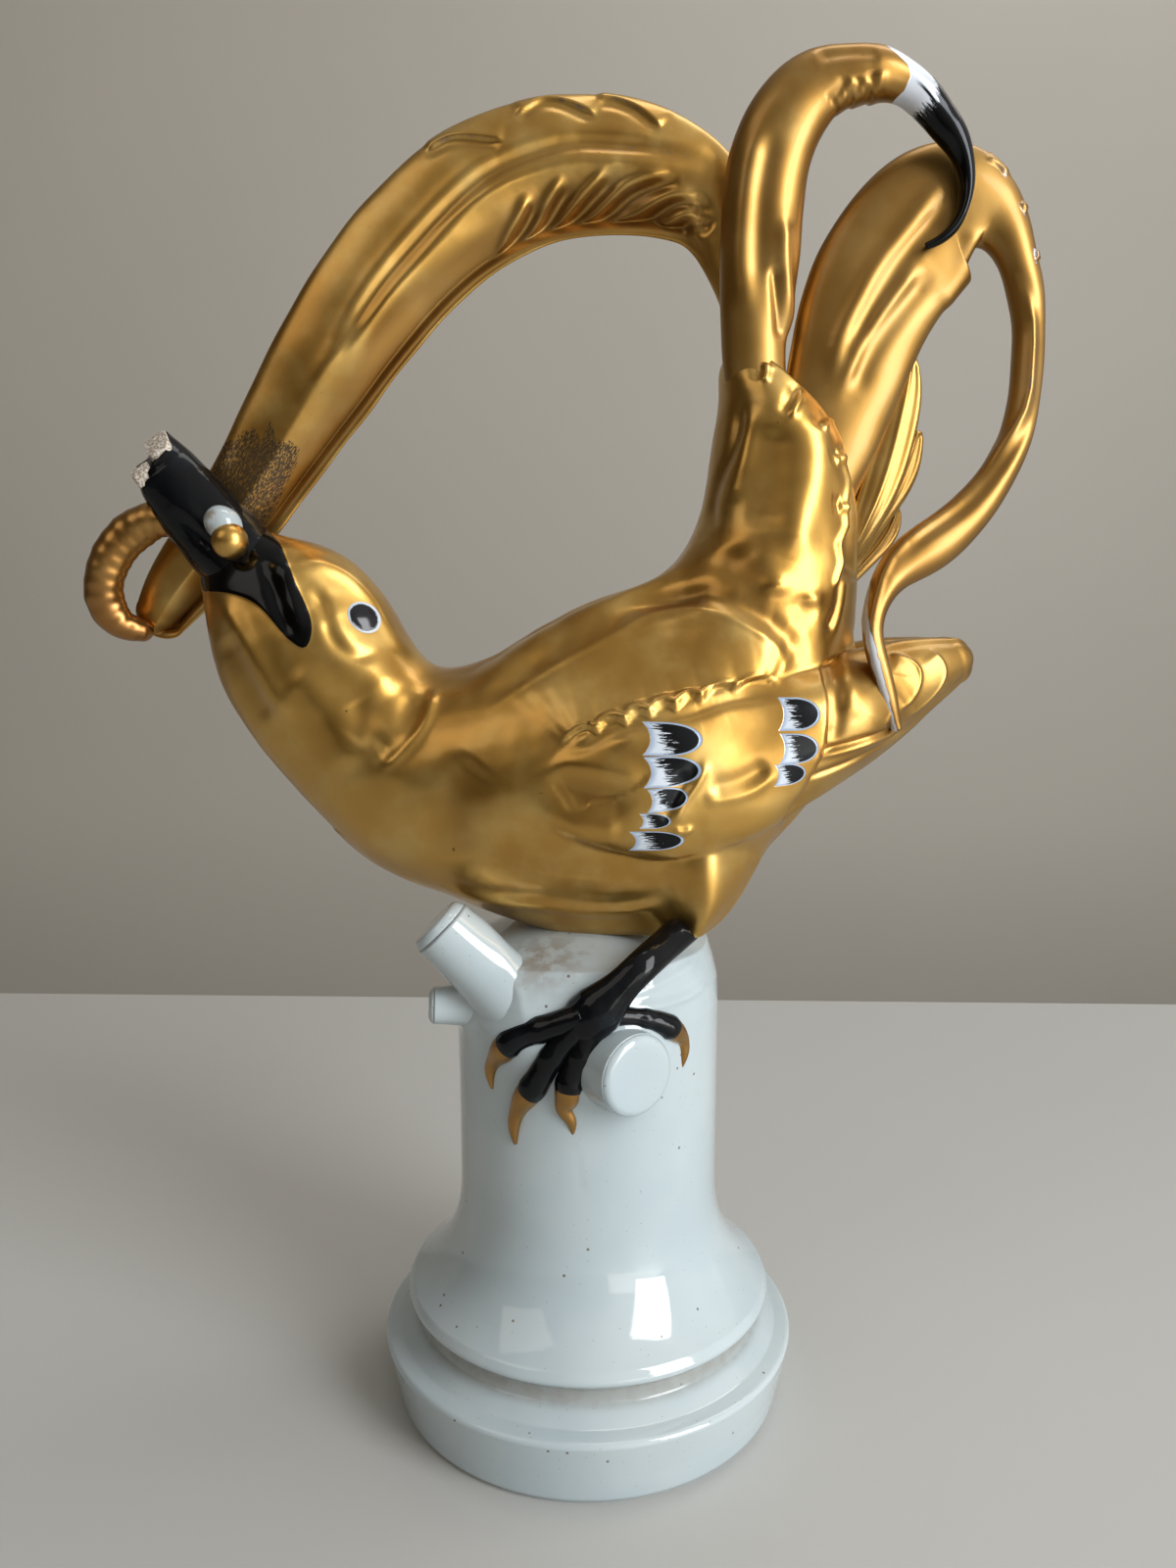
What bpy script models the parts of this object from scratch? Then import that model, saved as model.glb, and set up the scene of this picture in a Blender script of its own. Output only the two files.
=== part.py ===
"""Bird of paradise figurine: a long-plumed bird crouching on a round column, one piece of fired porcelain.

The hollow casting is given as one closed solid. The column's sizes and the bird's own height are named below,
in metres. The bird is drawn in thousandths of its height from the middle of the column's top: x runs from
the beak to the wing tips, z is up, and y is negative on the side that faces the viewer.
"""
import math

import bmesh
import bpy
import numpy as np

NAME = "bird_of_paradise_figurine"

FOOT_RADIUS = 0.0750
RIM_RADIUS = FOOT_RADIUS * 1.070
RIM_HEIGHT = FOOT_RADIUS * 0.355
FLANGE_RADIUS = FOOT_RADIUS * 0.948
FLANGE_HEIGHT = FOOT_RADIUS * 0.591
GROOVE_RADIUS = FLANGE_RADIUS * 0.930
GROOVE_HEIGHT = (RIM_HEIGHT + FLANGE_HEIGHT) / 2
SHAFT_RADIUS = FOOT_RADIUS * 0.665
SHOULDER_HEIGHT = 0.1810
DOME_RISE = 0.0110
EDGE_ROUND = 0.0020
BELL_HEIGHT = SHOULDER_HEIGHT * 0.52
COLUMN_STEPS = 42

BIRD_HEIGHT = 0.3120
SHARE = BIRD_HEIGHT / 1000
SEAT = (0.0, 0.0, SHOULDER_HEIGHT)

FAR_WING_SPREAD = 0.97

STUB_RADIUS = 0.0110
KNOB_RADIUS = 0.0065
STUMP_RADIUS = 0.0142
STUMP_PROUD = 0.0110
STUMP_LENGTH = 0.0300
STUMP_DROP = 0.0327
STUMP_AT = 16.7
STUMP_FACES = 36.0
TOE_RADIUS = 0.0050
TOE_LIFT = 0.5

# Head, neck, trunk and tail sheath: back x, z, belly x, z, half breadth.
BODY = [
    (-392, 494, -454, 438, 22),
    (-363, 485, -451, 412, 42),
    (-314, 473, -445, 361, 62),
    (-266, 444, -426, 294, 78),
    (-232, 400, -384, 228, 86),
    (-208, 358, -331, 165, 93),
    (-183, 331, -259, 98, 109),
    (-149, 331, -179, 64, 125),
    (-103, 350, -99, 37, 138),
    (-51, 375, -15, 22, 147),
    (7, 404, 67, 27, 147),
    (59, 425, 150, 72, 141),
    (99, 451, 226, 152, 128),
    (124, 488, 283, 227, 112),
    (137, 534, 305, 318, 96),
    (144, 589, 312, 405, 86),
    (150, 640, 313, 490, 78),
    (154, 676, 300, 560, 70),
    (172, 694, 276, 610, 54),
]

# Plumes, wing, beak and grub: middle x, z, y, half width, half thickness.
ARCH_PLUME = [
    (-521, 389, 48, 32, 10),
    (-501, 417, 48, 40, 16),
    (-458, 469, 50, 48, 19),
    (-419, 517, 50, 53, 22),
    (-377, 576, 48, 58, 22),
    (-331, 643, 42, 66, 22),
    (-285, 706, 35, 71, 22),
    (-235, 769, 32, 75, 22),
    (-180, 823, 29, 77, 22),
    (-123, 862, 26, 79, 22),
    (-67, 885, 26, 78, 22),
    (-6, 894, 26, 75, 22),
    (52, 892, 26, 72, 22),
    (101, 877, 26, 64, 22),
    (143, 846, 26, 52, 22),
    (168, 800, 24, 40, 22),
    (185, 736, 19, 30, 26),
    (194, 646, 13, 30, 26),
    (205, 590, 8, 26, 20),
]
HOOK_PLUME = [
    (197, 600, -16, 36, 26),
    (185, 708, -26, 37, 29),
    (189, 766, -29, 43, 29),
    (191, 829, -32, 45, 29),
    (198, 883, -35, 44, 29),
    (215, 922, -38, 42, 29),
    (243, 950, -42, 38, 26),
    (278, 961, -45, 31, 26),
    (312, 962, -45, 27, 26),
    (335, 955, -45, 22, 22),
    (356, 941, -45, 20, 19),
    (374, 923, -45, 19, 16),
    (389, 905, -45, 17, 16),
    (403, 881, -45, 12, 13),
    (409, 855, -45, 9, 13),
    (407, 830, -45, 7, 13),
    (396, 807, -43, 6, 10),
    (380, 795, -40, 5, 8),
    (370, 791, -37, 4, 6),
]
STRAND_PLUME = [
    (262, 539, 0, 50, 26),
    (286, 630, -3, 64, 26),
    (304, 699, -6, 72, 26),
    (329, 762, -6, 78, 26),
    (362, 807, -6, 79, 26),
    (396, 834, -6, 76, 26),
    (426, 838, -10, 64, 22),
    (450, 830, -10, 42, 22),
    (470, 804, -13, 26, 22),
    (483, 771, -16, 21, 19),
    (491, 734, -19, 19, 19),
    (494, 689, -22, 18, 19),
    (490, 633, -29, 18, 19),
    (477, 578, -35, 18, 19),
    (453, 534, -42, 20, 19),
    (417, 493, -51, 25, 19),
    (375, 462, -61, 27, 19),
    (344, 440, -67, 22, 19),
    (326, 413, -74, 15, 19),
    (321, 375, -80, 11, 19),
    (327, 332, -83, 9, 17),
    (337, 295, -82, 8, 14),
    (345, 268, -80, 6, 12),
]
WING = [
    (-114, 200, -104, 22, 13),
    (-48, 196, -117, 45, 26),
    (44, 210, -129, 80, 33),
    (129, 223, -126, 88, 34),
    (212, 251, -104, 77, 40),
    (279, 276, -66, 67, 66),
    (348, 309, -42, 54, 44),
    (404, 330, -28, 34, 30),
    (432, 333, -18, 17, 22),
]
LEAVES = [
    [(303, 456, 0, 9, 13), (336, 531, 10, 22, 13), (357, 607, 13, 24, 11), (368, 662, 13, 16, 9), (373, 684, 13, 6, 6)],
    [(304, 440, 6, 9, 13), (342, 504, 19, 13, 13), (373, 570, 26, 18, 10), (385, 604, 26, 8, 8)],
    [(303, 429, 13, 9, 13), (336, 463, 29, 12, 13), (361, 500, 35, 12, 10), (367, 517, 35, 5, 6)],
]
BEAK = [
    (-507, 583, 0, 27, 28),
    (-474, 535, 0, 42, 33),
    (-441, 494, 0, 45, 36),
    (-412, 461, 0, 48, 42),
    (-384, 434, 0, 40, 52),
    (-359, 406, 0, 27, 64),
    (-343, 377, 0, 13, 60),
]
GRUB = [
    (-430, 480, -40, 15, 17),
    (-457, 484, -13, 17, 19),
    (-506, 501, 10, 21, 22),
    (-536, 488, 13, 24, 22),
    (-560, 463, 13, 24, 22),
    (-574, 431, 15, 23, 22),
    (-573, 398, 20, 22, 19),
    (-559, 379, 27, 18, 17),
    (-541, 372, 36, 14, 15),
]
GRUB_HEAD = [
    (-418, 514, -44, 12, 14),
    (-415, 500, -50, 24, 25),
    (-412, 482, -52, 25, 26),
    (-410, 466, -50, 13, 15),
]
THIGH = [
    (132, 145, -80, 25, 38),
    (134, 114, -94, 39, 45),
    (133, 88, -104, 36, 45),
    (128, 62, -112, 26, 35),
    (122, 40, -116, 13, 19),
]

# Cut branch stubs on the column, root then free end: degrees round from the viewer's side, drop below the
# shoulder and lift off the shaft in millimetres.
STUB = [(-26.6, 21.0, -18.5), (-57.9, -15.0, 14.3)]
KNOB = [(-53.6, 18.0, -2.7), (-62.4, 17.2, 14.8)]

# Leg, toes and claws: the top of the leg on the bird, then places on the column by degrees round from the
# viewer's side and drop below the shoulder in millimetres, and shares of the toe's radius.
TARSUS_TOP = (111, -106, 38)
INSTEP = (18, -2.0)
PALM = (2, 13.0)
LEG_SHARES = (1.05, 1.1, 1.2, 1.6)
LEG_FLATNESS = 0.85
DIGITS = [
    [(-2, 13, 1.05), (-16, 18, 0.96), (-29, 24, 1.02), (-36, 30, 0.90), (-40, 34, 0.62), (-43, 39, 0.46), (-43, 46, 0.14)],
    [(-2, 15, 1.05), (-14, 29, 0.96), (-22, 41, 0.98), (-26, 46, 0.84), (-29, 51, 0.60), (-31, 57, 0.44), (-31, 64, 0.14)],
    [(3, 15, 1.05), (-3, 28, 1.00), (-7, 38, 1.02), (-8, 43, 0.90), (-9, 47, 0.66), (-7, 51, 0.48), (-6, 57, 0.14)],
    [(8, 13, 0.90), (20, 15, 0.66), (31, 19, 0.86), (37, 23, 0.74), (41, 27, 0.50), (42, 32, 0.40), (41, 38, 0.14)],
]


def material(name, colour, metallic, roughness):
    made = bpy.data.materials.new(name)
    made.use_nodes = True
    shader = made.node_tree.nodes["Principled BSDF"]
    shader.inputs["Base Color"].default_value = (*colour, 1.0)
    shader.inputs["Metallic"].default_value = metallic
    shader.inputs["Roughness"].default_value = roughness
    return made


def spline(rows, count):
    """Rows resampled evenly along a natural cubic curve through them, by the length of their x, z chords."""
    rows = np.array(rows, float)
    chord = np.linalg.norm(np.diff(rows[:, :2], axis=0), axis=1)
    at = np.concatenate(([0.0], np.cumsum(chord)))
    n = len(rows)
    system = np.eye(n)
    right = np.zeros_like(rows)
    for i in range(1, n - 1):
        before, after = at[i] - at[i - 1], at[i + 1] - at[i]
        system[i, i - 1:i + 2] = before, 2 * (before + after), after
        right[i] = 6 * ((rows[i + 1] - rows[i]) / after - (rows[i] - rows[i - 1]) / before)
    bend = np.linalg.solve(system, right)
    new = np.linspace(0.0, at[-1], count)
    i = np.clip(np.searchsorted(at, new, side="right") - 1, 0, n - 2)
    gap = (at[i + 1] - at[i])[:, None]
    a = (at[i + 1] - new)[:, None] / gap
    b = 1 - a
    return a * rows[i] + b * rows[i + 1] + ((a ** 3 - a) * bend[i] + (b ** 3 - b) * bend[i + 1]) * gap ** 2 / 6


def mesh_object(name, points, faces, collection, skin):
    mesh = bpy.data.meshes.new(name)
    mesh.from_pydata([tuple(p) for p in points], [], faces)
    work = bmesh.new()
    work.from_mesh(mesh)
    bmesh.ops.recalc_face_normals(work, faces=work.faces)
    work.to_mesh(mesh)
    work.free()
    mesh.materials.append(skin)
    made = bpy.data.objects.new(name, mesh)
    collection.objects.link(made)
    return made


def loft(name, middle, wide, deep, sides, collection, skin):
    """Closed surface through elliptical rings, each with its middle and two half axes, and a point at each end."""
    turn = np.arange(sides) * 2 * math.pi / sides
    rings = middle[:, None] + np.cos(turn)[:, None] * wide[:, None] + np.sin(turn)[:, None] * deep[:, None]
    points = np.vstack((rings.reshape(-1, 3), middle[0], middle[-1]))
    start, end = len(points) - 2, len(points) - 1
    last = (len(middle) - 1) * sides
    faces = []
    for k in range(sides):
        after = (k + 1) % sides
        faces.append((start, after, k))
        faces.append((end, last + k, last + after))
        for ring in range(0, last, sides):
            faces.append((ring + k, ring + after, ring + sides + after, ring + sides + k))
    return mesh_object(name, points, faces, collection, skin)


def bird_point(x, y, z):
    return np.stack((x, y, z), axis=-1) * SHARE + np.array(SEAT)


def plume(name, table, count, sides, collection, skin, side=1):
    """Bent blade along a middle line; its width lies in the upright plane of the bird, across the line."""
    x, z, y, half_width, half_depth = spline(table, count).T
    middle = bird_point(x, y * side, z)
    along = np.gradient(middle, axis=0)
    across = np.stack((-along[:, 2], np.zeros(count), along[:, 0]), axis=1)
    across /= np.linalg.norm(across, axis=1)[:, None]
    through = np.cross(along, across)
    through /= np.linalg.norm(through, axis=1)[:, None]
    wide = across * half_width[:, None] * SHARE
    deep = through * half_depth[:, None] * SHARE
    return loft(name, middle, wide, deep, sides, collection, skin)


def on_shaft(turn, drop, lift):
    """Point on the column, by degrees round from the viewer's side and drop below the shoulder."""
    reach = SHAFT_RADIUS + lift
    angle = np.radians(turn)
    return np.stack((reach * np.sin(angle), -reach * np.cos(angle), SHOULDER_HEIGHT - drop), axis=-1)


def clasp(name, table, count, sides, collection, skin, side):
    """Toe and claw lying on the shaft along the given turns and drops (millimetres)."""
    turn, drop, share = spline(table, count).T
    middle = on_shaft(turn, drop / 1000, TOE_RADIUS * share * TOE_LIFT)
    along = np.gradient(middle, axis=0)
    outward = middle * (1, 1, 0)
    outward /= np.linalg.norm(outward, axis=1)[:, None]
    across = np.cross(along, outward)
    across /= np.linalg.norm(across, axis=1)[:, None]
    size = (share * TOE_RADIUS)[:, None]
    mirror = np.array((1, side, 1))
    return loft(name, middle * mirror, across * size * mirror, outward * size * mirror, sides, collection, skin)


def rod(name, start, end, radius, sides, collection, skin):
    """Straight round stub between two points, its free end softened by a narrow round."""
    start, end = np.array(start), np.array(end)
    along = (end - start) / np.linalg.norm(end - start)
    aside = np.cross(along, (0.0, 0.0, 1.0))
    aside /= np.linalg.norm(aside)
    above = np.cross(aside, along)
    middle = np.array([start, end - along * EDGE_ROUND / 2, end])
    size = np.array([radius, radius, radius - EDGE_ROUND / 2])[:, None]
    return loft(name, middle, aside * size, above * size, sides, collection, skin)


def arc(centre, radius, first, last, count):
    """Points of a circle's arc in the radius and height plane, between two angles in degrees."""
    return [
        (centre[0] + radius * math.cos(math.radians(a)), centre[1] + radius * math.sin(math.radians(a)))
        for a in np.linspace(first, last, count)
    ]


def column_profile():
    """Outer side from the dome at the top to the middle of the flat underside."""
    shoulder = SHAFT_RADIUS * 0.90
    top = [(shoulder * s, SHOULDER_HEIGHT + DOME_RISE * (1 - s ** 2)) for s in (0.0, 0.35, 0.65, 0.88)]
    side = [(SHAFT_RADIUS * 0.915, SHOULDER_HEIGHT), (SHAFT_RADIUS * 0.955, SHOULDER_HEIGHT - 0.006)]
    side += [(SHAFT_RADIUS * 0.99, SHOULDER_HEIGHT - 0.013), (SHAFT_RADIUS, SHOULDER_HEIGHT - 0.022)]
    bell = []
    for s in np.linspace(0.0, 1.0, 8):
        height = BELL_HEIGHT + (FLANGE_HEIGHT - BELL_HEIGHT) * s
        bell.append((SHAFT_RADIUS + (FLANGE_RADIUS - SHAFT_RADIUS) * s ** 3.2, height))
    lip = arc((FLANGE_RADIUS - EDGE_ROUND, FLANGE_HEIGHT - EDGE_ROUND), EDGE_ROUND, 20, -60, 4)
    groove = [(GROOVE_RADIUS, GROOVE_HEIGHT + 0.0015), (GROOVE_RADIUS + 0.001, GROOVE_HEIGHT - 0.003)]
    ledge = [(RIM_RADIUS - 3 * EDGE_ROUND, RIM_HEIGHT + EDGE_ROUND / 2)]
    rim = arc((RIM_RADIUS - EDGE_ROUND, RIM_HEIGHT - EDGE_ROUND), EDGE_ROUND, 75, -5, 4)
    foot = [(FOOT_RADIUS + 0.0025, RIM_HEIGHT * 0.45), (FOOT_RADIUS + 0.0006, EDGE_ROUND)]
    foot += [(FOOT_RADIUS - EDGE_ROUND / 2, 0.0), (0.0, 0.0)]
    return top + side + bell[:-1] + lip + groove + ledge + rim + foot


def column(collection, skin):
    profile = column_profile()
    mesh = bpy.data.meshes.new(NAME)
    edges = [(i, i + 1) for i in range(len(profile) - 1)]
    mesh.from_pydata([(radius, 0.0, height) for radius, height in profile], edges, [])
    mesh.materials.append(skin)
    made = bpy.data.objects.new(NAME, mesh)
    collection.objects.link(made)
    screw = made.modifiers.new("turned", "SCREW")
    screw.axis = "Z"
    screw.steps = COLUMN_STEPS
    screw.render_steps = COLUMN_STEPS
    screw.use_merge_vertices = True
    screw.merge_threshold = 0.0001
    return made


def leg(name, collection, skin, side):
    """Lower leg from under the thigh, over the column's shoulder, to the palm."""
    top = bird_point(*TARSUS_TOP)
    palm = on_shaft(PALM[0], PALM[1] / 1000, TOE_RADIUS * TOE_LIFT)
    over = on_shaft(INSTEP[0], INSTEP[1] / 1000, TOE_RADIUS * TOE_LIFT)
    middle = np.array([top, (top + over) / 2, over, palm]) * np.array((1, side, 1))
    along = np.gradient(middle, axis=0)
    along /= np.linalg.norm(along, axis=1)[:, None]
    outward = np.array((0.0, -side, 0.35))
    across = np.cross(along, outward)
    across /= np.linalg.norm(across, axis=1)[:, None]
    depth = np.cross(across, along)
    size = TOE_RADIUS * np.array(LEG_SHARES)[:, None]
    return loft(name, middle, across * size, depth * size * LEG_FLATNESS, 8, collection, skin)


def main():
    for old in list(bpy.data.objects):
        bpy.data.objects.remove(old)
    part = bpy.data.collections.new(NAME)
    tools = bpy.data.collections.new("joined_forms")
    for group in (part, tools):
        bpy.context.scene.collection.children.link(group)
    skin = material("gilded_glaze", (0.62, 0.40, 0.10), 0.9, 0.28)
    whole = column(part, skin)

    x_back, z_back, x_belly, z_belly, breadth = spline(BODY, 24).T
    still = np.zeros_like(breadth)
    back = bird_point(x_back, still, z_back)
    belly = bird_point(x_belly, still, z_belly)
    deep = np.stack((still, breadth * SHARE, still), axis=1)
    forms = [loft("body", (back + belly) / 2, (back - belly) / 2, deep, 24, tools, skin)]
    forms.append(plume("arch_plume", ARCH_PLUME, 27, 12, tools, skin))
    forms.append(plume("hook_plume", HOOK_PLUME, 30, 10, tools, skin))
    forms.append(plume("strand_plume", STRAND_PLUME, 34, 10, tools, skin))
    for i, leaf in enumerate(LEAVES):
        forms.append(plume("leaf_plume_%d" % i, leaf, 7, 8, tools, skin))
    forms.append(plume("beak", BEAK, 9, 12, tools, skin))
    forms.append(plume("grub", GRUB, 15, 10, tools, skin))
    forms.append(plume("grub_head", GRUB_HEAD, 6, 10, tools, skin))
    for side in (1, -1):
        label = "near" if side > 0 else "far"
        forms.append(plume("wing_" + label, WING, 15, 14, tools, skin, 1 if side > 0 else -FAR_WING_SPREAD))
        forms.append(plume("thigh_" + label, THIGH, 6, 10, tools, skin, side))
        forms.append(leg("leg_" + label, tools, skin, side))
        for i, digit in enumerate(DIGITS):
            forms.append(clasp("digit_%s_%d" % (label, i), digit, 9, 8, tools, skin, side))
    for label, ends, radius in (("stub", STUB, STUB_RADIUS), ("knob", KNOB, KNOB_RADIUS)):
        root, free = [on_shaft(turn, drop / 1000, lift / 1000) for turn, drop, lift in ends]
        forms.append(rod(label, root, free, radius, 14, tools, skin))
    face = on_shaft(STUMP_AT, STUMP_DROP, STUMP_PROUD)
    facing = np.array((math.sin(math.radians(STUMP_FACES)), -math.cos(math.radians(STUMP_FACES)), 0.0))
    forms.append(rod("stump", face - facing * STUMP_LENGTH, face, STUMP_RADIUS, 18, tools, skin))

    for form in forms:
        form.display_type = "WIRE"
        form.hide_render = True
        join = whole.modifiers.new("join_" + form.name, "BOOLEAN")
        join.operation = "UNION"
        join.solver = "EXACT"
        join.object = form


main()
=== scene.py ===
"""Looks of the bird of paradise figurine: old-gold lustre, white and black glaze, bare breaks.

The bird is drawn in shares, thousandths of its height from the middle of the column's top: x runs
from the beak to the wing tips, z is up, y is negative on the side that faces the viewer. The column
is in metres.
"""

import math

import bpy
import numpy as np
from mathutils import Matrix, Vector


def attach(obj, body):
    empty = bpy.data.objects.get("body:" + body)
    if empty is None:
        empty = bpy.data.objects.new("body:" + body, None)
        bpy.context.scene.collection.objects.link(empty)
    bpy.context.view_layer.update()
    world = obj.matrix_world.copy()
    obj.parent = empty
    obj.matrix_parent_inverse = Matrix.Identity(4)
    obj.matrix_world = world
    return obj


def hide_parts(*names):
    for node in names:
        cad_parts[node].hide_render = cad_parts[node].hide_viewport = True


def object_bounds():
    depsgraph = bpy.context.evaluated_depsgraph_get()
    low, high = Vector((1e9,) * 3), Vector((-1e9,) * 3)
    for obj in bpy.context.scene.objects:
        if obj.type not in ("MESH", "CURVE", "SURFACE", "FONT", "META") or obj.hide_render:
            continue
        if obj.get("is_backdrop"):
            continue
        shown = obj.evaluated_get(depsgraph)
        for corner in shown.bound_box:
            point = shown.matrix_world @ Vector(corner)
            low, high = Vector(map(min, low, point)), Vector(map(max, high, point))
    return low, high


NODE = "bird_of_paradise_figurine"
SHARE = 0.312 / 1000
SEAT = np.array((0.0, 0.0, 0.181))
HOLLOW_DEPTH = 9.0

# The body: x, z of the back line, x, z of the belly line, half breadth.
BODY = [
    (-392, 494, -454, 438, 22), (-363, 485, -451, 412, 42), (-314, 473, -445, 361, 62),
    (-266, 444, -426, 294, 78), (-232, 400, -384, 228, 86), (-208, 358, -331, 165, 93),
    (-183, 331, -259, 98, 109), (-149, 331, -179, 64, 125), (-103, 350, -99, 37, 138),
    (-51, 375, -15, 22, 147), (7, 404, 67, 27, 147), (59, 425, 146, 46, 141), (99, 451, 214, 134, 128),
    (124, 488, 283, 227, 112), (137, 534, 305, 318, 96), (144, 589, 312, 405, 86),
    (150, 640, 313, 490, 78), (154, 676, 300, 560, 70), (172, 694, 276, 610, 54),
]
# Blades: x, z, y, half width, half depth.
ARCH_PLUME = [
    (-521, 389, 48, 32, 10), (-501, 417, 48, 40, 16), (-458, 469, 50, 48, 19), (-419, 517, 50, 53, 22),
    (-377, 576, 48, 58, 22), (-331, 643, 42, 66, 22), (-285, 706, 35, 71, 22), (-235, 769, 32, 75, 22),
    (-180, 823, 29, 77, 22), (-123, 862, 26, 79, 22), (-67, 885, 26, 78, 22), (-6, 894, 26, 75, 22),
    (52, 892, 26, 72, 22), (101, 877, 26, 64, 22), (143, 846, 26, 52, 22), (168, 800, 24, 40, 22),
    (185, 736, 19, 30, 26), (194, 646, 13, 30, 26), (205, 590, 8, 26, 20),
]
HOOK_PLUME = [
    (197, 600, -16, 36, 26), (185, 708, -26, 37, 29), (189, 766, -29, 43, 29), (191, 829, -32, 45, 29),
    (198, 883, -35, 44, 29), (215, 922, -38, 42, 29), (243, 950, -42, 38, 26), (278, 961, -45, 31, 26),
    (312, 962, -45, 27, 26), (335, 955, -45, 22, 22), (356, 941, -45, 20, 19), (374, 923, -45, 19, 16),
    (389, 905, -45, 17, 16), (403, 881, -45, 12, 13), (409, 855, -45, 9, 13), (407, 830, -45, 7, 13),
    (396, 807, -43, 6, 10), (380, 795, -40, 5, 8), (370, 791, -37, 4, 6),
]
STRAND_PLUME = [
    (262, 539, 0, 50, 26), (286, 630, -3, 64, 26), (304, 699, -6, 72, 26), (329, 762, -6, 78, 26),
    (362, 807, -6, 79, 26), (396, 834, -6, 76, 26), (426, 838, -10, 64, 22), (450, 830, -10, 42, 22),
    (470, 804, -13, 26, 22), (483, 771, -16, 21, 19), (491, 734, -19, 19, 19), (494, 689, -22, 18, 19),
    (490, 633, -29, 18, 19), (477, 578, -35, 18, 19), (453, 534, -42, 20, 19), (417, 493, -51, 25, 19),
    (375, 462, -61, 27, 19), (344, 440, -67, 22, 19), (326, 413, -74, 15, 19), (317, 375, -84, 11, 16),
    (325, 332, -95, 10, 11), (335, 297, -97, 9, 10), (345, 266, -94, 6, 8),
]
WING = [
    (-114, 200, -104, 22, 13), (-48, 196, -117, 45, 26), (44, 210, -129, 80, 33),
    (129, 223, -126, 88, 34), (212, 251, -104, 77, 40), (279, 276, -66, 67, 66),
    (348, 308, -42, 55, 44), (400, 329, -28, 38, 30), (428, 338, -18, 28, 22),
]
LEAVES = [
    [
        (303, 456, 0, 9, 13), (336, 531, 10, 22, 13), (357, 607, 13, 24, 11), (368, 662, 13, 16, 9),
        (373, 684, 13, 6, 6)
    ],
    [(304, 440, 6, 9, 13), (342, 504, 19, 13, 13), (373, 570, 26, 18, 10), (385, 604, 26, 8, 8)],
    [(303, 429, 13, 9, 13), (336, 463, 29, 12, 13), (361, 500, 35, 12, 10), (367, 517, 35, 5, 6)],
]
BEAK = [
    (-507, 583, 0, 27, 28), (-474, 535, 0, 42, 33), (-441, 494, 0, 45, 36), (-412, 461, 0, 48, 42),
    (-384, 434, 0, 40, 52), (-359, 406, 0, 27, 64), (-343, 377, 0, 13, 60),
]
GRUB = [
    (-457, 484, 8, 14, 12), (-506, 501, 10, 21, 22), (-536, 488, 13, 24, 22), (-560, 463, 13, 24, 22),
    (-574, 431, 15, 23, 22), (-573, 398, 20, 22, 19), (-559, 379, 27, 18, 17), (-541, 372, 36, 14, 15),
]
THIGH = [
    (134, 145, -68, 25, 38), (135, 114, -82, 39, 43), (134, 88, -91, 37, 42), (129, 62, -99, 27, 34),
    (123, 40, -107, 14, 19),
]
# Toes with their claws: turn in degrees, drop in millimetres and share of the toe's radius.
DIGITS = [
    [
        (-2, 13, 1.05), (-16, 18, 0.96), (-29, 24, 1.02), (-36, 30, 0.90), (-40, 34, 0.62),
        (-43, 39, 0.46), (-43, 46, 0.14)
    ],
    [
        (-2, 15, 1.05), (-14, 29, 0.96), (-22, 41, 0.98), (-26, 46, 0.84), (-29, 51, 0.60),
        (-31, 57, 0.44), (-31, 64, 0.14)
    ],
    [
        (3, 15, 1.05), (-3, 28, 1.00), (-7, 38, 1.02), (-8, 43, 0.90), (-9, 47, 0.66), (-7, 51, 0.48),
        (-6, 57, 0.14)
    ],
    [
        (8, 13, 0.90), (20, 15, 0.66), (31, 19, 0.86), (37, 23, 0.74), (41, 27, 0.50), (42, 32, 0.40),
        (41, 38, 0.14)
    ],
]
# The palm on the shaft: turn in degrees, drop below the shoulder and lift off the shaft in metres.
PALM = [(11, 0.004, 0.0030), (4, 0.011, 0.0018), (-3, 0.017, 0.0005), (-9, 0.022, -0.003)]
LEG_SIZES = (1.2, 1.15, 1.15, 1.3, 1.8, 1.6, 0.5)

FOOT_RADIUS = 0.0750
RIM_RADIUS = 0.08025
RIM_HEIGHT = 0.026625
FLANGE_RADIUS = 0.0711
FLANGE_HEIGHT = 0.044325
GROOVE_RADIUS = 0.066123
SHAFT_RADIUS = 0.049875
SHOULDER_HEIGHT = 0.1810
DOME_RISE = 0.0110
EDGE_ROUND = 0.0020
BELL_HEIGHT = 0.09412
TOE_RADIUS = 0.0050
TOE_LIFT = 0.5
STUB_ROUND = 0.0026
STUB_LENGTH = 0.03
# Glaze gathered round the stubs' roots, on the column, on the stubs and where two stubs meet.
ROOT_SWELL, ROOT_SPREAD = 0.0052, 0.008
STUB_SWELL, STUB_SPREAD = 0.0018, 0.006
FORK_SWELL, FORK_SPREAD = 0.0022, 0.003


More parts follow.
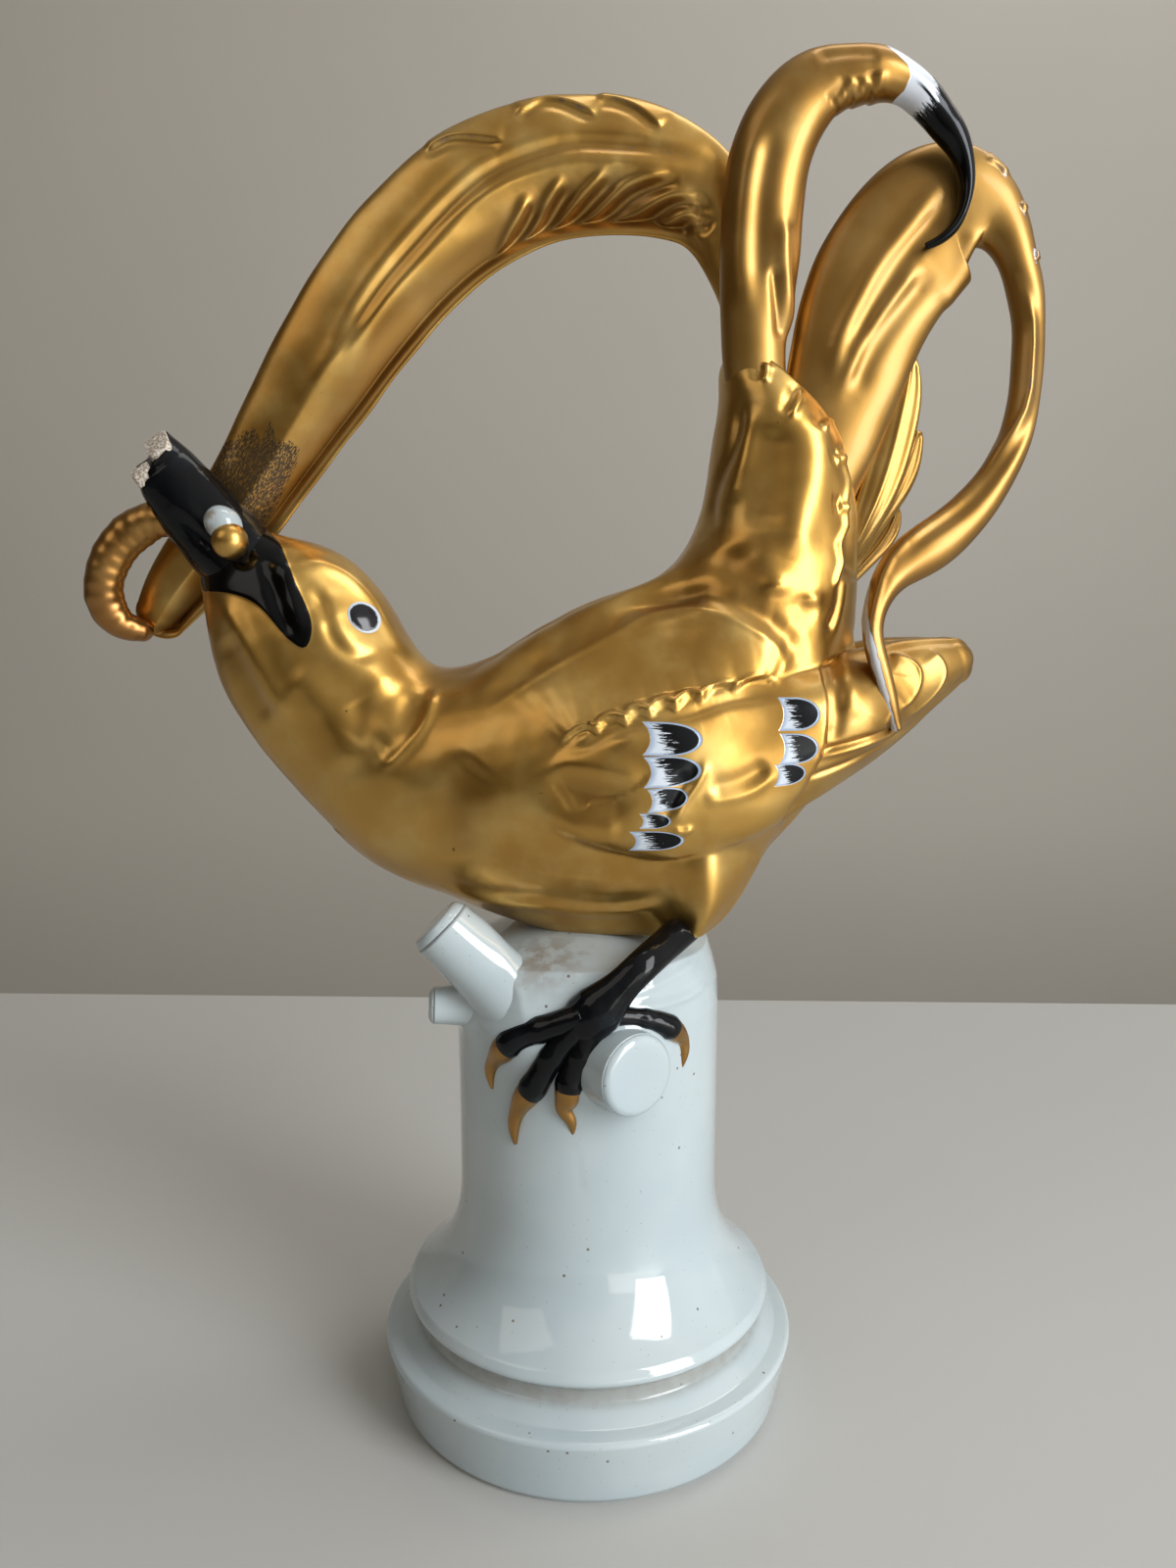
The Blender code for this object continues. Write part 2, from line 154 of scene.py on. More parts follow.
def spline(rows, count):
    """Rows resampled along a natural cubic curve through them, by the length of their x, z chords."""
    rows = np.array(rows, float)
    chord = np.linalg.norm(np.diff(rows[:, :2], axis=0), axis=1)
    at = np.concatenate(([0.0], np.cumsum(chord)))
    n = len(rows)
    system = np.eye(n)
    right = np.zeros_like(rows)
    for i in range(1, n - 1):
        before, after = at[i] - at[i - 1], at[i + 1] - at[i]
        system[i, i - 1:i + 2] = before, 2 * (before + after), after
        right[i] = 6 * ((rows[i + 1] - rows[i]) / after - (rows[i] - rows[i - 1]) / before)
    bend = np.linalg.solve(system, right)
    new = np.linspace(0.0, at[-1], count)
    i = np.clip(np.searchsorted(at, new, side="right") - 1, 0, n - 2)
    gap = (at[i + 1] - at[i])[:, None]
    a = (at[i + 1] - new)[:, None] / gap
    b = 1 - a
    bent = (a ** 3 - a) * bend[i] + (b ** 3 - b) * bend[i + 1]
    return a * rows[i] + b * rows[i + 1] + bent * gap ** 2 / 6


def bird_point(x, y, z):
    return np.stack((x, y, z), axis=-1) * SHARE + SEAT


def unit(v):
    return v / np.maximum(np.linalg.norm(v, axis=-1, keepdims=True), 1e-12)


def normals(rings):
    """Outward directions of a grid of rings: the cross product of its steps along and around."""
    along = np.gradient(rings, axis=0)
    around = np.roll(rings, -1, axis=1) - np.roll(rings, 1, axis=1)
    out = unit(np.cross(around, along))
    away = rings - rings.mean(axis=1, keepdims=True)
    return out if (out * away).sum() > 0 else -out


def turns(around, near=0.5):
    """Angles round a ring, with the given share of them on the viewer's half, from 0 to pi."""
    front = round(around * near)
    seen = np.linspace(0, math.pi, front, endpoint=False)
    hidden = np.linspace(math.pi, 2 * math.pi, around - front, endpoint=False)
    return np.concatenate((seen, hidden))


def side_view(rings):
    """Places of a grid in shares: x, z and y."""
    place = (rings - SEAT) / SHARE
    return place[..., 0], place[..., 2], place[..., 1]


def smooth(value, low, high):
    """Rises from 0 at low to 1 at high along a soft S."""
    t = np.clip((value - low) / (high - low), 0, 1)
    return t * t * (3 - 2 * t)


def hump(value, width):
    """1 at 0, sinking softly on both sides over the given width."""
    return np.exp(-(value / width) ** 2)


def fading(gap, reach):
    """1 up to a gap of 0, sinking beyond it with the given reach."""
    return np.exp(-np.maximum(gap, 0) / reach)


def to_line(x, z, line):
    """Distance to a bent line, the same with a sign (above 0 on its left), and the share of its run."""
    line = np.array(line, float)
    steps = np.hypot(*np.diff(line, axis=0).T)
    start = np.concatenate(([0.0], np.cumsum(steps))) / steps.sum()
    best = np.full(x.shape, np.inf)
    side, run = np.zeros(x.shape), np.zeros(x.shape)
    for i in range(len(line) - 1):
        (ax, az), (bx, bz) = line[i], line[i + 1]
        dx, dz = bx - ax, bz - az
        t = np.clip(((x - ax) * dx + (z - az) * dz) / (dx * dx + dz * dz), 0, 1)
        gap = np.hypot(x - ax - t * dx, z - az - t * dz)
        closer = gap < best
        best = np.where(closer, gap, best)
        side = np.where(closer, np.sign(dx * (z - az) - dz * (x - ax)), side)
        run = np.where(closer, start[i] + t * (start[i + 1] - start[i]), run)
    return best, best * side, run


def moved(line, dx, dz):
    return [(px + dx, pz + dz) for px, pz in line]


def bowed(line, count=24):
    """The line as a soft curve through its points."""
    return spline(line, count) if len(line) > 2 else np.array(line, float)


def ridge(x, z, line, height, width, soft=True):
    """Round ridge (or groove, with a height below 0) along a line, dying away at both of its ends."""
    gap, _, run = to_line(x, z, bowed(line) if soft else line)
    ends = smooth(run, 0, 0.18) * smooth(1 - run, 0, 0.18)
    return height * hump(gap, width) * (0.1 + 0.9 * ends)


def step(x, z, line, rise, edge, fade, soft=True):
    """Raised on the left of the line: a short slope at it, sinking back over the fade distance."""
    gap, signed, run = to_line(x, z, bowed(line) if soft else line)
    ends = smooth(run, 0, 0.12) * smooth(1 - run, 0, 0.12)
    return rise * smooth(signed, -edge, edge) * fading(signed, fade) * ends * (gap < 4 * fade)


def mound(x, z, centre, reach, height):
    """Oval swelling, or a dip with a height below 0."""
    return height * np.exp(-((x - centre[0]) / reach[0]) ** 2 - ((z - centre[1]) / reach[1]) ** 2)


def ridges(x, z, table):
    """Sum of the ridges of a table of height, width and line."""
    return sum(ridge(x, z, line, height, width) for height, width, line in table)


def unevenness(x, y, z, size, seed):
    """Soft lumps of hand-modelled clay: crossed waves of about the given size, from -1 to 1."""
    chance = np.random.default_rng(seed)
    total = np.zeros(np.broadcast(x, y, z).shape)
    for _ in range(7):
        way = unit(chance.normal(size=3)) * 2 * math.pi / (size * chance.uniform(0.7, 1.5))
        total += np.sin(x * way[0] + y * way[1] + z * way[2] + chance.uniform(0, 2 * math.pi))
    return total / 7


def inside(x, z, outline):
    """Signed distance to a closed outline in the side view, positive inside it."""
    outline = np.array(list(outline) + [outline[0]], float)
    gap, _, _ = to_line(x, z, outline)
    within = np.zeros(x.shape, bool)
    for (ax, az), (bx, bz) in zip(outline, outline[1:]):
        if az != bz:
            within ^= ((z < az) != (z < bz)) & (x < ax + (z - az) / (bz - az) * (bx - ax))
    return np.where(within, gap, -gap)


def inside_soft(x, z, outline, margin):
    """1 well inside an outline, falling to 0 over a margin within it."""
    return smooth(inside(x, z, outline), -margin / 2, margin)


def carve(rings, relief):
    """Moves the grid outward by the relief, in shares, fading to nothing at the two ends."""
    count = len(rings)
    k = np.arange(count)
    fade = smooth(np.minimum(k, count - 1 - k), 0, 6)[:, None]
    return rings + normals(rings) * (relief * fade * SHARE)[..., None]


def piece(name, points, faces, look, fields):
    """One smooth surface from points and faces, turned outward, with a value per point and field."""
    points = np.asarray(points, float)
    mesh = bpy.data.meshes.new(name)
    mesh.from_pydata(points.tolist(), [], faces)
    mesh.polygons.foreach_set("use_smooth", np.ones(len(mesh.polygons), bool))
    for label, values in fields.items():
        layer = mesh.attributes.new(label, "FLOAT", "POINT")
        layer.data.foreach_set("value", np.asarray(values, np.float32))
    mesh.calc_loop_triangles()
    corners = np.zeros(len(mesh.loop_triangles) * 3, np.int32)
    mesh.loop_triangles.foreach_get("vertices", corners)
    a, b, c = points[corners.reshape(-1, 3)].transpose(1, 0, 2)
    if (np.cross(a, b) * c).sum() < 0:
        mesh.flip_normals()
    slot, material = look
    mesh.materials.append(material)
    made = bpy.data.objects.new(name, mesh)
    bpy.context.scene.collection.objects.link(made)
    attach(made, "root")
    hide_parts(NODE)
    return made


def loft(name, rings, look, fields=None):
    """Closed surface over rings of points, each end gathered to one point at the middle of its ring."""
    count, around = rings.shape[:2]
    grid = np.arange(count * around).reshape(count, around)
    after = np.roll(grid, -1, axis=1)
    quads = np.stack((grid[:-1], after[:-1], after[1:], grid[1:]), axis=-1).reshape(-1, 4).tolist()
    start, end = count * around, count * around + 1
    caps = [(start, b, a) for a, b in zip(grid[0].tolist(), after[0].tolist())]
    caps += [(end, a, b) for a, b in zip(grid[-1].tolist(), after[-1].tolist())]
    points = np.vstack((rings.reshape(-1, 3), rings[0].mean(axis=0), rings[-1].mean(axis=0)))
    values = {}
    for label, field in (fields or {}).items():
        field = np.broadcast_to(field, (count, around))
        values[label] = np.concatenate((field.ravel(), [field[0].mean(), field[-1].mean()]))
    return piece(name, points, quads + caps, look, values)


def blade(table, count, around, side=1, near=0.5, ends=(0.0, 0.0)):
    """Rings of a bent blade: ellipses with their long axis upright, across the middle line.

    Each end may go on in a rounded tip, whose length is the given share of the half width there.
    Gives the rings, the share of the way along, and the place across and through each ring from -1
    to 1.
    """
    x, z, y, half_width, half_depth = spline(table, count).T
    middle = bird_point(x, y * side, z)
    along = np.gradient(middle, axis=0)
    run = np.linspace(0.0, 1.0, count)
    bend = np.linspace(0, math.radians(84), 10)[1:]
    for at, share in ((0, ends[0]), (-1, ends[1])):
        if share:
            way = unit(along[at]) * (-1 if at == 0 else 1)
            more = middle[at] + way * (np.sin(bend) * half_width[at] * share * SHARE)[:, None]
            same = np.ones(len(bend))
            tip = [more, along[at] * same[:, None]]
            tip += [half_width[at] * np.cos(bend), half_depth[at] * np.cos(bend), run[at] * same]
            rows = [middle, along, half_width, half_depth, run]
            joined = [np.concatenate((t[::-1], r) if at == 0 else (r, t)) for r, t in zip(rows, tip)]
            middle, along, half_width, half_depth, run = joined
    across = unit(np.stack((-along[:, 2], np.zeros(len(run)), along[:, 0]), axis=1))
    through = unit(np.cross(along, across))
    through *= np.sign(-through[:, 1:2])
    turn = turns(around, near)
    c, s = np.cos(turn)[None, :], np.sin(turn)[None, :]
    wide = across[:, None] * (half_width[:, None] * c)[..., None]
    deep = through[:, None] * (half_depth[:, None] * s)[..., None]
    rings = middle[:, None] + (wide + deep) * SHARE
    return (rings, *(np.broadcast_to(values, rings.shape[:2]) for values in (run[:, None], c, s)))


def trunk(count, around, near):
    """Rings of the body: ellipses between the back and belly lines, with the table's half breadth."""
    x_back, z_back, x_belly, z_belly, breadth = spline(BODY, count).T
    still = np.zeros_like(breadth)
    back, belly = bird_point(x_back, still, z_back), bird_point(x_belly, still, z_belly)
    turn = turns(around, near)
    c, s = np.cos(turn)[None, :, None], np.sin(turn)[None, :, None]
    deep = np.stack((still, -breadth * SHARE, still), axis=1)
    return (back + belly)[:, None] / 2 + (back - belly)[:, None] / 2 * c + deep[:, None] * s


# Lines seen from the side, in shares.
MANTLE_EDGE = [
    (-112, 289), (-32, 339), (41, 375), (77, 393), (134, 396), (183, 375), (212, 350), (217, 336),
    (206, 318),
]
SCALLOP_ENDS = [
    (212, 314), (160, 313), (122, 302), (94, 294), (66, 287), (40, 279), (10, 269), (-32, 250),
]
COVERT_EDGE = [
    (226, 440), (224, 378), (256, 349), (261, 301), (258, 252), (240, 212), (224, 186), (200, 120),
]
THROAT_PATCH = [
    (-443, 418), (-400, 415), (-367, 400), (-345, 376), (-330, 362), (-316, 356), (-309, 368),
    (-312, 394), (-326, 423), (-344, 459), (-354, 474), (-367, 484), (-380, 520), (-480, 520),
    (-480, 430),
]
SHEATH_LIP = [
    (130, 668), (145, 671), (172, 679), (198, 667), (223, 668), (244, 648), (263, 634), (273, 609),
    (287, 591), (286, 566), (297, 540), (291, 511), (294, 490), (284, 470), (288, 450), (282, 430),
]
SHEATH_PLEATS = [
    [(198, 667), (193, 643)], [(244, 648), (219, 604)], [(273, 609), (255, 593)],
    [(286, 566), (272, 560)], [(291, 511), (278, 510)],
]


def scallops(ends, lift, steps=7):
    """Line of small arches: between two of its ends it bows upward by a share of their distance."""
    t = np.linspace(0, 1, steps)[:-1]
    line = []
    for a, b in zip(ends, ends[1:]):
        (ax, az), (bx, bz) = a, b
        for share, rise in zip(t, 4 * t * (1 - t) * math.hypot(bx - ax, bz - az) * lift):
            line.append((ax + share * (bx - ax), az + share * (bz - az) + rise))
    return line + [ends[-1]]


def standing(table, x, z, slope, bell=False):
    """How far a blade's outer face stands from the bird's middle plane: the depth of its middle
    line and an oval arch or a soft bell across it; outside the blade it falls away by the slope.
    """
    rows = spline(table, 90)
    gap, _, run = to_line(x, z, rows[:, :2])
    depth, half_width, half_depth = [
        np.interp(run, np.linspace(0, 1, len(rows)), rows[:, k]) for k in (2, 3, 4)
    ]
    off = gap / half_width
    arch = np.exp(-1.2 * off ** 2) if bell else np.sqrt(np.clip(1 - off ** 2, 0, 1))
    return -depth + half_depth * arch - np.maximum(off - 1, 0) * half_width * slope


def greater(a, b, soft):
    """The greater of two heights, with a fillet where they meet."""
    near = np.maximum(soft - np.abs(a - b), 0) / soft
    return np.maximum(a, b) + near ** 2 * soft / 4


# Ridges, or grooves below 0: height, width and line. Mounds: height, middle and reach. In shares.
TRUNK_LINES = [
    (1.2, 3.4, MANTLE_EDGE),
    (
        -6, 13,
        [
            (-118, 300), (-38, 350), (36, 388), (78, 408), (134, 412), (180, 397), (216, 370),
            (233, 340), (228, 300)
        ]
    ),
    (3, 7, [(-332, 456), (-300, 447), (-266, 429), (-244, 408), (-229, 378), (-200, 341)]),
    (-3, 8, [(-314, 424), (-298, 403), (-286, 367), (-258, 345), (-236, 352)]),
    (5, 20, [(-305, 403), (-287, 379), (-267, 350), (-238, 320), (-223, 297)]),
    (4, 26, [(-340, 330), (-310, 300), (-285, 262), (-262, 215)]),
    (5.5, 14, [(-418, 415), (-390, 367), (-357, 309), (-332, 267)]),
    (-3.5, 16, [(-412, 370), (-386, 315), (-360, 272)]),
    (3.4, 6.5, [(-170, 312), (-176, 296), (-180, 278), (-192, 258), (-210, 238), (-232, 222)]),
    (-3.4, 13, [(-196, 306), (-202, 284), (-214, 262), (-236, 240)]),
    (-2.2, 14, [(-262, 300), (-252, 272), (-262, 250)]),
    (-2.5, 9, [(-372, 456), (-352, 418), (-340, 388), (-328, 366)]),
    (2, 9, [(-354, 460), (-336, 424), (-325, 394), (-317, 366)]),
    (-5, 26, [(-120, 240), (-150, 180), (-140, 120)]),
    (-4, 6, [(169, 629), (163, 584), (138, 510), (142, 483)]),
    (3, 9, [(183, 622), (178, 584), (156, 512)]),
    (-6, 22, [(150, 470), (172, 430), (220, 402), (258, 398)]),
    (-5, 5, [(284, 436), (279, 396), (266, 371)]),
    (5, 22, [(258, 620), (250, 560), (236, 500), (222, 450)]),
    (-4, 20, [(205, 600), (196, 540), (192, 480)]),
]
TRUNK_MOUNDS = [
    (3, (-216, 218), (20, 20)), (5, (-326, 440), (28, 14)), (-2.0, (-254, 390), (26, 28)),
    (4, (-214, 262), (16, 16)), (5, (206, 424), (16, 11)), (5, (246, 410), (13, 9)),
]


def trunk_relief(x, z, y):
    """Head, neck, back, mantle and tail sheath: swellings, folds and edges by place."""
    flank = smooth(np.abs(y), 10, 40)
    side = np.where(y < 0, 1.0, 0.8) * flank
    relief = ridges(x, z, TRUNK_LINES)
    for height, middle, reach in TRUNK_MOUNDS:
        relief += mound(x, z, middle, reach, height)
    for line in SHEATH_PLEATS:
        relief += ridge(x, z, line, 3.5, 4.5) + ridge(x, z, moved(line, -9, 4), -2.5, 7)
    gap, signed, _ = to_line(x, z, SHEATH_LIP)
    beyond = smooth(signed, -1.5, 3.0) * smooth(x, 135, 160) * smooth(z, 425, 450)
    rim = 3.5 * hump(signed + 4, 4.0) * smooth(x, 140, 160)
    relief += np.where(gap < 90, rim - 15 * beyond, 0)
    relief *= side
    valley = smooth(x, -150, -40) * smooth(-x, -130, -40)
    between = 13 * hump(np.abs(y) - 50, 26) - 9 * hump(y, 18)
    relief += valley * between * smooth(z, 300, 360)
    lobe = [(-150, 330), (-87, 352), (-22, 378), (29, 397), (87, 409), (151, 428)]
    near_side = smooth(-y, 15, 40)
    relief += (ridge(x, z, lobe, -4.5, 9) + ridge(x, z, moved(lobe, 8, -18), 4, 13)) * near_side
    strip = [(-176, 84), (-146, 72), (-53, 64), (57, 63), (92, 76)]
    relief += (ridge(x, z, strip, 3.2, 8) + ridge(x, z, moved(strip, 0, 13), -1.4, 9)) * side
    relief += 1.6 * unevenness(x, y, z, 90, 3) + 0.5 * unevenness(x, y, z, 34, 5)
    return relief


WING_LINES = [
    (3.2, 5.0, [(90, 168), (104, 197), (121, 223), (126, 240)]),
    (-3.5, 8, [(80, 172), (94, 200), (110, 226)]), (3.5, 3.5, [(92, 166), (101, 162), (113, 166)]),
    (2.6, 7, [(122, 196), (150, 200), (176, 206), (204, 226)]),
    (-4, 12, [(128, 209), (160, 214), (196, 234)]),
    (-6, 20, [(-84, 216), (-40, 212), (0, 204), (55, 193)]),
    (3, 16, [(-66, 240), (-20, 236), (24, 226), (60, 214)]),
    (4, 16, [(-60, 176), (-10, 160), (40, 158)]), (-4, 3.6, [(250, 245), (300, 256), (356, 268)]),
    (2.5, 3.0, [(250, 238), (300, 249), (356, 262)]), (-3.5, 3.4, [(236, 215), (300, 234), (372, 266)]),
    (3, 14, [(290, 370), (286, 320), (282, 280)]), (-3, 9, [(268, 362), (272, 300), (268, 250)]),
]
WING_MOUNDS = [
    (4, (-8, 262), (16, 8)), (3, (40, 262), (22, 10)),
]


def wing_relief(x, z, y):
    """Folds of the coverts and the flight feathers of a wing."""
    relief = ridges(x, z, WING_LINES)
    for height, middle, reach in WING_MOUNDS:
        relief += mound(x, z, middle, reach, height)
    front = [
        (-32, 253), (-67, 231), (-87, 203), (-90, 162), (-65, 127), (4, 120), (77, 121), (134, 137)
    ]
    relief += step(x, z, front, 5, 16, 70)
    for line, rise in (
        ([(348, 284), (372, 306), (375, 333), (341, 352)], 3.4),
        ([(363, 276), (401, 304), (410, 328), (391, 357)], 3.2),
        ([(330, 268), (342, 300), (330, 330)], 1.6),
    ):
        relief += step(x, z, line, rise, 1.8, 20) + ridge(x, z, line, 1.2, 2.6)
    relief += 1.2 * unevenness(x, y, z, 70, 8) + 0.4 * unevenness(x, y, z, 30, 9)
    return relief


ARCH_SHAFT = [
    (-300, 668), (-262, 728), (-232, 768), (-189, 814), (-146, 855), (-102, 886), (-63, 901),
    (-23, 911), (19, 911), (59, 908), (101, 901), (128, 893),
]
ARCH_NOTCHES = [
    [(-182, 906), (-170, 914), (-159, 919), (-131, 920), (-92, 914)],
    [(-82, 944), (-68, 952), (-52, 961), (-22, 957), (10, 941)],
    [(8, 962), (24, 962), (43, 957), (62, 946), (82, 928)],
]
ARCH_BARBS = [
    [(-112, 766), (-103, 779), (-95, 805), (-81, 831), (-64, 862)],
    [(-88, 784), (-81, 795), (-67, 813), (-53, 839), (-39, 862), (-24, 880)],
    [(-62, 794), (-53, 805), (-36, 823), (-20, 844), (-3, 862), (26, 888)],
    [(-24, 812), (-14, 821), (0, 831), (19, 849), (41, 867), (63, 875), (94, 880)],
    [(14, 820), (24, 826), (46, 833), (68, 846), (90, 857), (112, 855), (128, 838)],
    [(76, 822), (93, 830), (107, 838), (127, 825)],
]


SMOKE_PATCH = [
    (-452, 555), (-436, 592), (-418, 597), (-405, 605), (-392, 609), (-384, 592), (-373, 618),
    (-365, 595), (-352, 594), (-341, 585), (-344, 569), (-357, 544), (-368, 521), (-384, 490),
    (-430, 520),
]


def arch_relief(x, z, y, across, through):
    """The arching plume: shaft groove, barb ends on its outer edge, deep barbs on its inner edge."""
    relief = ridge(x, z, ARCH_SHAFT, -4.5, 9) + ridge(x, z, moved(ARCH_SHAFT, 8, -16), 3.5, 10)
    relief += ridge(x, z, moved(ARCH_SHAFT, -5, 15), 1.8, 10)
    for line in ARCH_NOTCHES:
        relief += step(x, z, line, 4, 2.2, 13) + ridge(x, z, moved(line, -2, -7), -2.2, 6)
    inner = smooth(1 + across, 0.02, 0.22)
    for line in ARCH_BARBS:
        relief += inner * (ridge(x, z, line, 4.5, 6.5) + ridge(x, z, moved(line, 12, -7), -6, 8))
    inner_fold = [(-340, 625), (-320, 652), (-261, 716), (-192, 777), (-139, 816), (-100, 837)]
    relief += ridge(x, z, inner_fold, 3.5, 14)
    relief -= 23 * np.maximum(-across - 0.10, 0) * smooth(-x, -150, -60) * smooth(through, 0.0, 0.5)
    relief += 1.2 * unevenness(x, y, z, 80, 12)
    return relief


HOOK_LINES = [
    (4, 11, [(186, 912), (174, 872), (167, 817), (167, 761), (174, 712)]),
    (-4, 13, [(196, 905), (188, 862), (184, 800), (186, 740)]),
    (5, 8, [(212, 820), (214, 770), (222, 725), (231, 686)]),
    (-5, 6, [(202, 770), (208, 725), (214, 690)]), (-3.5, 10, [(238, 972), (270, 976), (308, 974)]),
]
HOOK_PUCKERS = [
    [(262, 926), (274, 938), (280, 950)], [(280, 932), (290, 940), (294, 950)],
    [(300, 936), (306, 944), (305, 956)],
]


def hook_relief(x, z, y):
    """The hooked plume: soft shaft ridge, a deep fold at its root and small puckers inside the bend."""
    relief = ridges(x, z, HOOK_LINES) + 1.0 * unevenness(x, y, z, 60, 14)
    for line in HOOK_PUCKERS:
        relief += ridge(x, z, line, 2.2, 6) + ridge(x, z, moved(line, -9, 1), -1.6, 6)
    return relief


RIBBON_EDGE = [
    (474, 760), (492, 715), (492, 674), (488, 628), (455, 569), (407, 514), (348, 470), (329, 445),
    (318, 414), (311, 385), (319, 330), (340, 268),
]
STRAND_LINES = [
    (4, 10, [(404, 858), (392, 855), (356, 818), (321, 774), (297, 731), (280, 692), (279, 640)]),
    (-3.5, 11, [(398, 838), (366, 806), (335, 764), (312, 722), (296, 680)]),
    (3.5, 7, [(368, 778), (340, 742), (305, 692), (284, 635)]),
    (-3, 10, [(384, 770), (352, 730), (318, 680), (298, 632)]),
    (3, 14, [(428, 816), (420, 770), (400, 728)]),
]


def strand_relief(x, z, y):
    """The blade that narrows to a long ribbon: shaft ridges, notches and the ribbon's raised edge."""
    relief = ridges(x, z, STRAND_LINES)
    relief += ridge(x, z, RIBBON_EDGE, 3.0, 4.2) + ridge(x, z, moved(RIBBON_EDGE[:8], 10, -5), -2.5, 7)
    for line in (
        [(436, 884), (448, 880), (458, 868)], [(474, 838), (480, 830)], [(492, 790), (494, 780)]
    ):
        relief += step(x, z, line, 4, 1.6, 12)
    return relief + 0.9 * unevenness(x, y, z, 70, 21)


# Cut stubs: root and free end as turn in degrees, drop and lift in metres, then the radius.
STUBS = [
    ((-24.0, 0.0240, -0.0115), (-57.9, -0.0150, 0.0143), 0.011),
    ((-49.0, 0.0184, -0.0090), (-62.4, 0.0172, 0.0148), 0.0065),
]
# Folds of bark below the shoulder: line of turn and drop in millimetres, and height.
BARK_FOLDS = [
    ([(10, 8.2), (23, 5.8), (38, 3.4), (52, 2.0)], 0.9),
    ([(13, 11.4), (28, 12.2), (42, 12.0), (56, 9.6)], 0.8), ([(17, 3.2), (28, 2.2), (40, -0.8)], 0.7),
    ([(-4, 60), (-2, 80)], -0.2),
]


def on_shaft(turn, drop, lift):
    """Point on the column, by degrees round from the viewer's side and drop below the shoulder."""
    reach = SHAFT_RADIUS + lift
    angle = np.radians(turn)
    return np.stack((reach * np.sin(angle), -reach * np.cos(angle), SHOULDER_HEIGHT - drop), axis=-1)


def circle(around):
    """Even angles once round."""
    return np.arange(around) * 2 * math.pi / around


def round_ring(across, outward, around):
    """Unit circles in the planes of two rows of directions, one circle a row."""
    turn = circle(around)
    return across[:, None] * np.cos(turn)[:, None] + outward[:, None] * np.sin(turn)[:, None]


def digit(table, count, around, side):
    """Rings of a toe and its claw lying on the shaft along the given turns and drops in millimetres."""
    turn, drop, share = spline(table, count).T
    middle = on_shaft(turn, drop / 1000, TOE_RADIUS * share * TOE_LIFT)
    along = np.gradient(middle, axis=0)
    outward = unit(middle * (1, 1, 0))
    across = unit(np.cross(along, outward))
    size = (share * TOE_RADIUS)[:, None, None]
    return (middle[:, None] + round_ring(across, outward, around) * size) * (1, side, 1)


def leg(count, around, side):
    """Rings of the lower leg from under the thigh, over the column's shoulder, to the palm."""
    top = bird_point(111.0, -106.0, 42.0)
    over = on_shaft(19, -0.003, 0.0035)
    palm = on_shaft(*np.array(PALM).T)
    marks = np.vstack((top, (top + over) / 2, over, palm)) * (1, side, 1)
    rows = spline(np.column_stack((marks, LEG_SIZES)), count)
    middle = rows[:, :3]
    size = TOE_RADIUS * np.clip(rows[:, 3], 0.3, 1.8)[:, None, None]
    along = unit(np.gradient(middle, axis=0))
    across = unit(np.cross(along, np.array((0.0, -side, 0.35))))
    return middle[:, None] + round_ring(across, np.cross(across, along) * 0.8, around) * size


def arc(centre, radius, first, last, count):
    turn = np.radians(np.linspace(first, last, count))
    return [(centre[0] + radius * math.cos(a), centre[1] + radius * math.sin(a)) for a in turn]


def column_profile():
    """Outer side from the dome at the top to the middle of the flat underside."""
    shoulder = SHAFT_RADIUS * 0.90
    top = [
        (shoulder * s, SHOULDER_HEIGHT + DOME_RISE * (1 - s ** 2)) for s in np.linspace(0.0, 0.95, 14)
    ]
    side = [(SHAFT_RADIUS * 0.915, SHOULDER_HEIGHT), (SHAFT_RADIUS * 0.955, SHOULDER_HEIGHT - 0.006)]
    side += [(SHAFT_RADIUS * 0.99, SHOULDER_HEIGHT - 0.013), (SHAFT_RADIUS, SHOULDER_HEIGHT - 0.022)]
    bell = []
    for s in np.linspace(0.0, 1.0, 40):
        height = BELL_HEIGHT + (FLANGE_HEIGHT - BELL_HEIGHT) * s
        bell.append((SHAFT_RADIUS + (FLANGE_RADIUS - SHAFT_RADIUS) * s ** 3.2, height))
    groove_height = (RIM_HEIGHT + FLANGE_HEIGHT) / 2
    lip = arc((FLANGE_RADIUS - EDGE_ROUND, FLANGE_HEIGHT - EDGE_ROUND), EDGE_ROUND, 20, -60, 7)
    groove = [(GROOVE_RADIUS, groove_height + 0.0015), (GROOVE_RADIUS + 0.001, groove_height - 0.003)]
    ledge = [(RIM_RADIUS - 3 * EDGE_ROUND, RIM_HEIGHT + EDGE_ROUND / 2)]
    rim = arc((RIM_RADIUS - EDGE_ROUND, RIM_HEIGHT - EDGE_ROUND), EDGE_ROUND, 75, -5, 7)
    foot = [(FOOT_RADIUS + 0.0025, RIM_HEIGHT * 0.45), (FOOT_RADIUS + 0.0006, EDGE_ROUND)]
    foot += [(FOOT_RADIUS - EDGE_ROUND / 2, 0.0), (0.002, 0.0)]
    return np.array(top[1:] + side + bell[:-1] + lip + groove + ledge + rim + foot)


def turned(profile, around):
    """The profile of radius and height turned round the upright axis."""
    turn = circle(around)
    radius, height = profile.T[:, :, None]
    return np.stack((radius * np.sin(turn), -radius * np.cos(turn), height * np.ones(around)), axis=-1)


def bar_gap(points, root, free, radius):
    """Distance of points from the side of a round bar between two points."""
    way = free - root
    t = np.clip(((points - root) @ unit(way)) / np.linalg.norm(way), 0, 1)
    return np.linalg.norm(points - root - t[..., None] * way, axis=-1) - radius


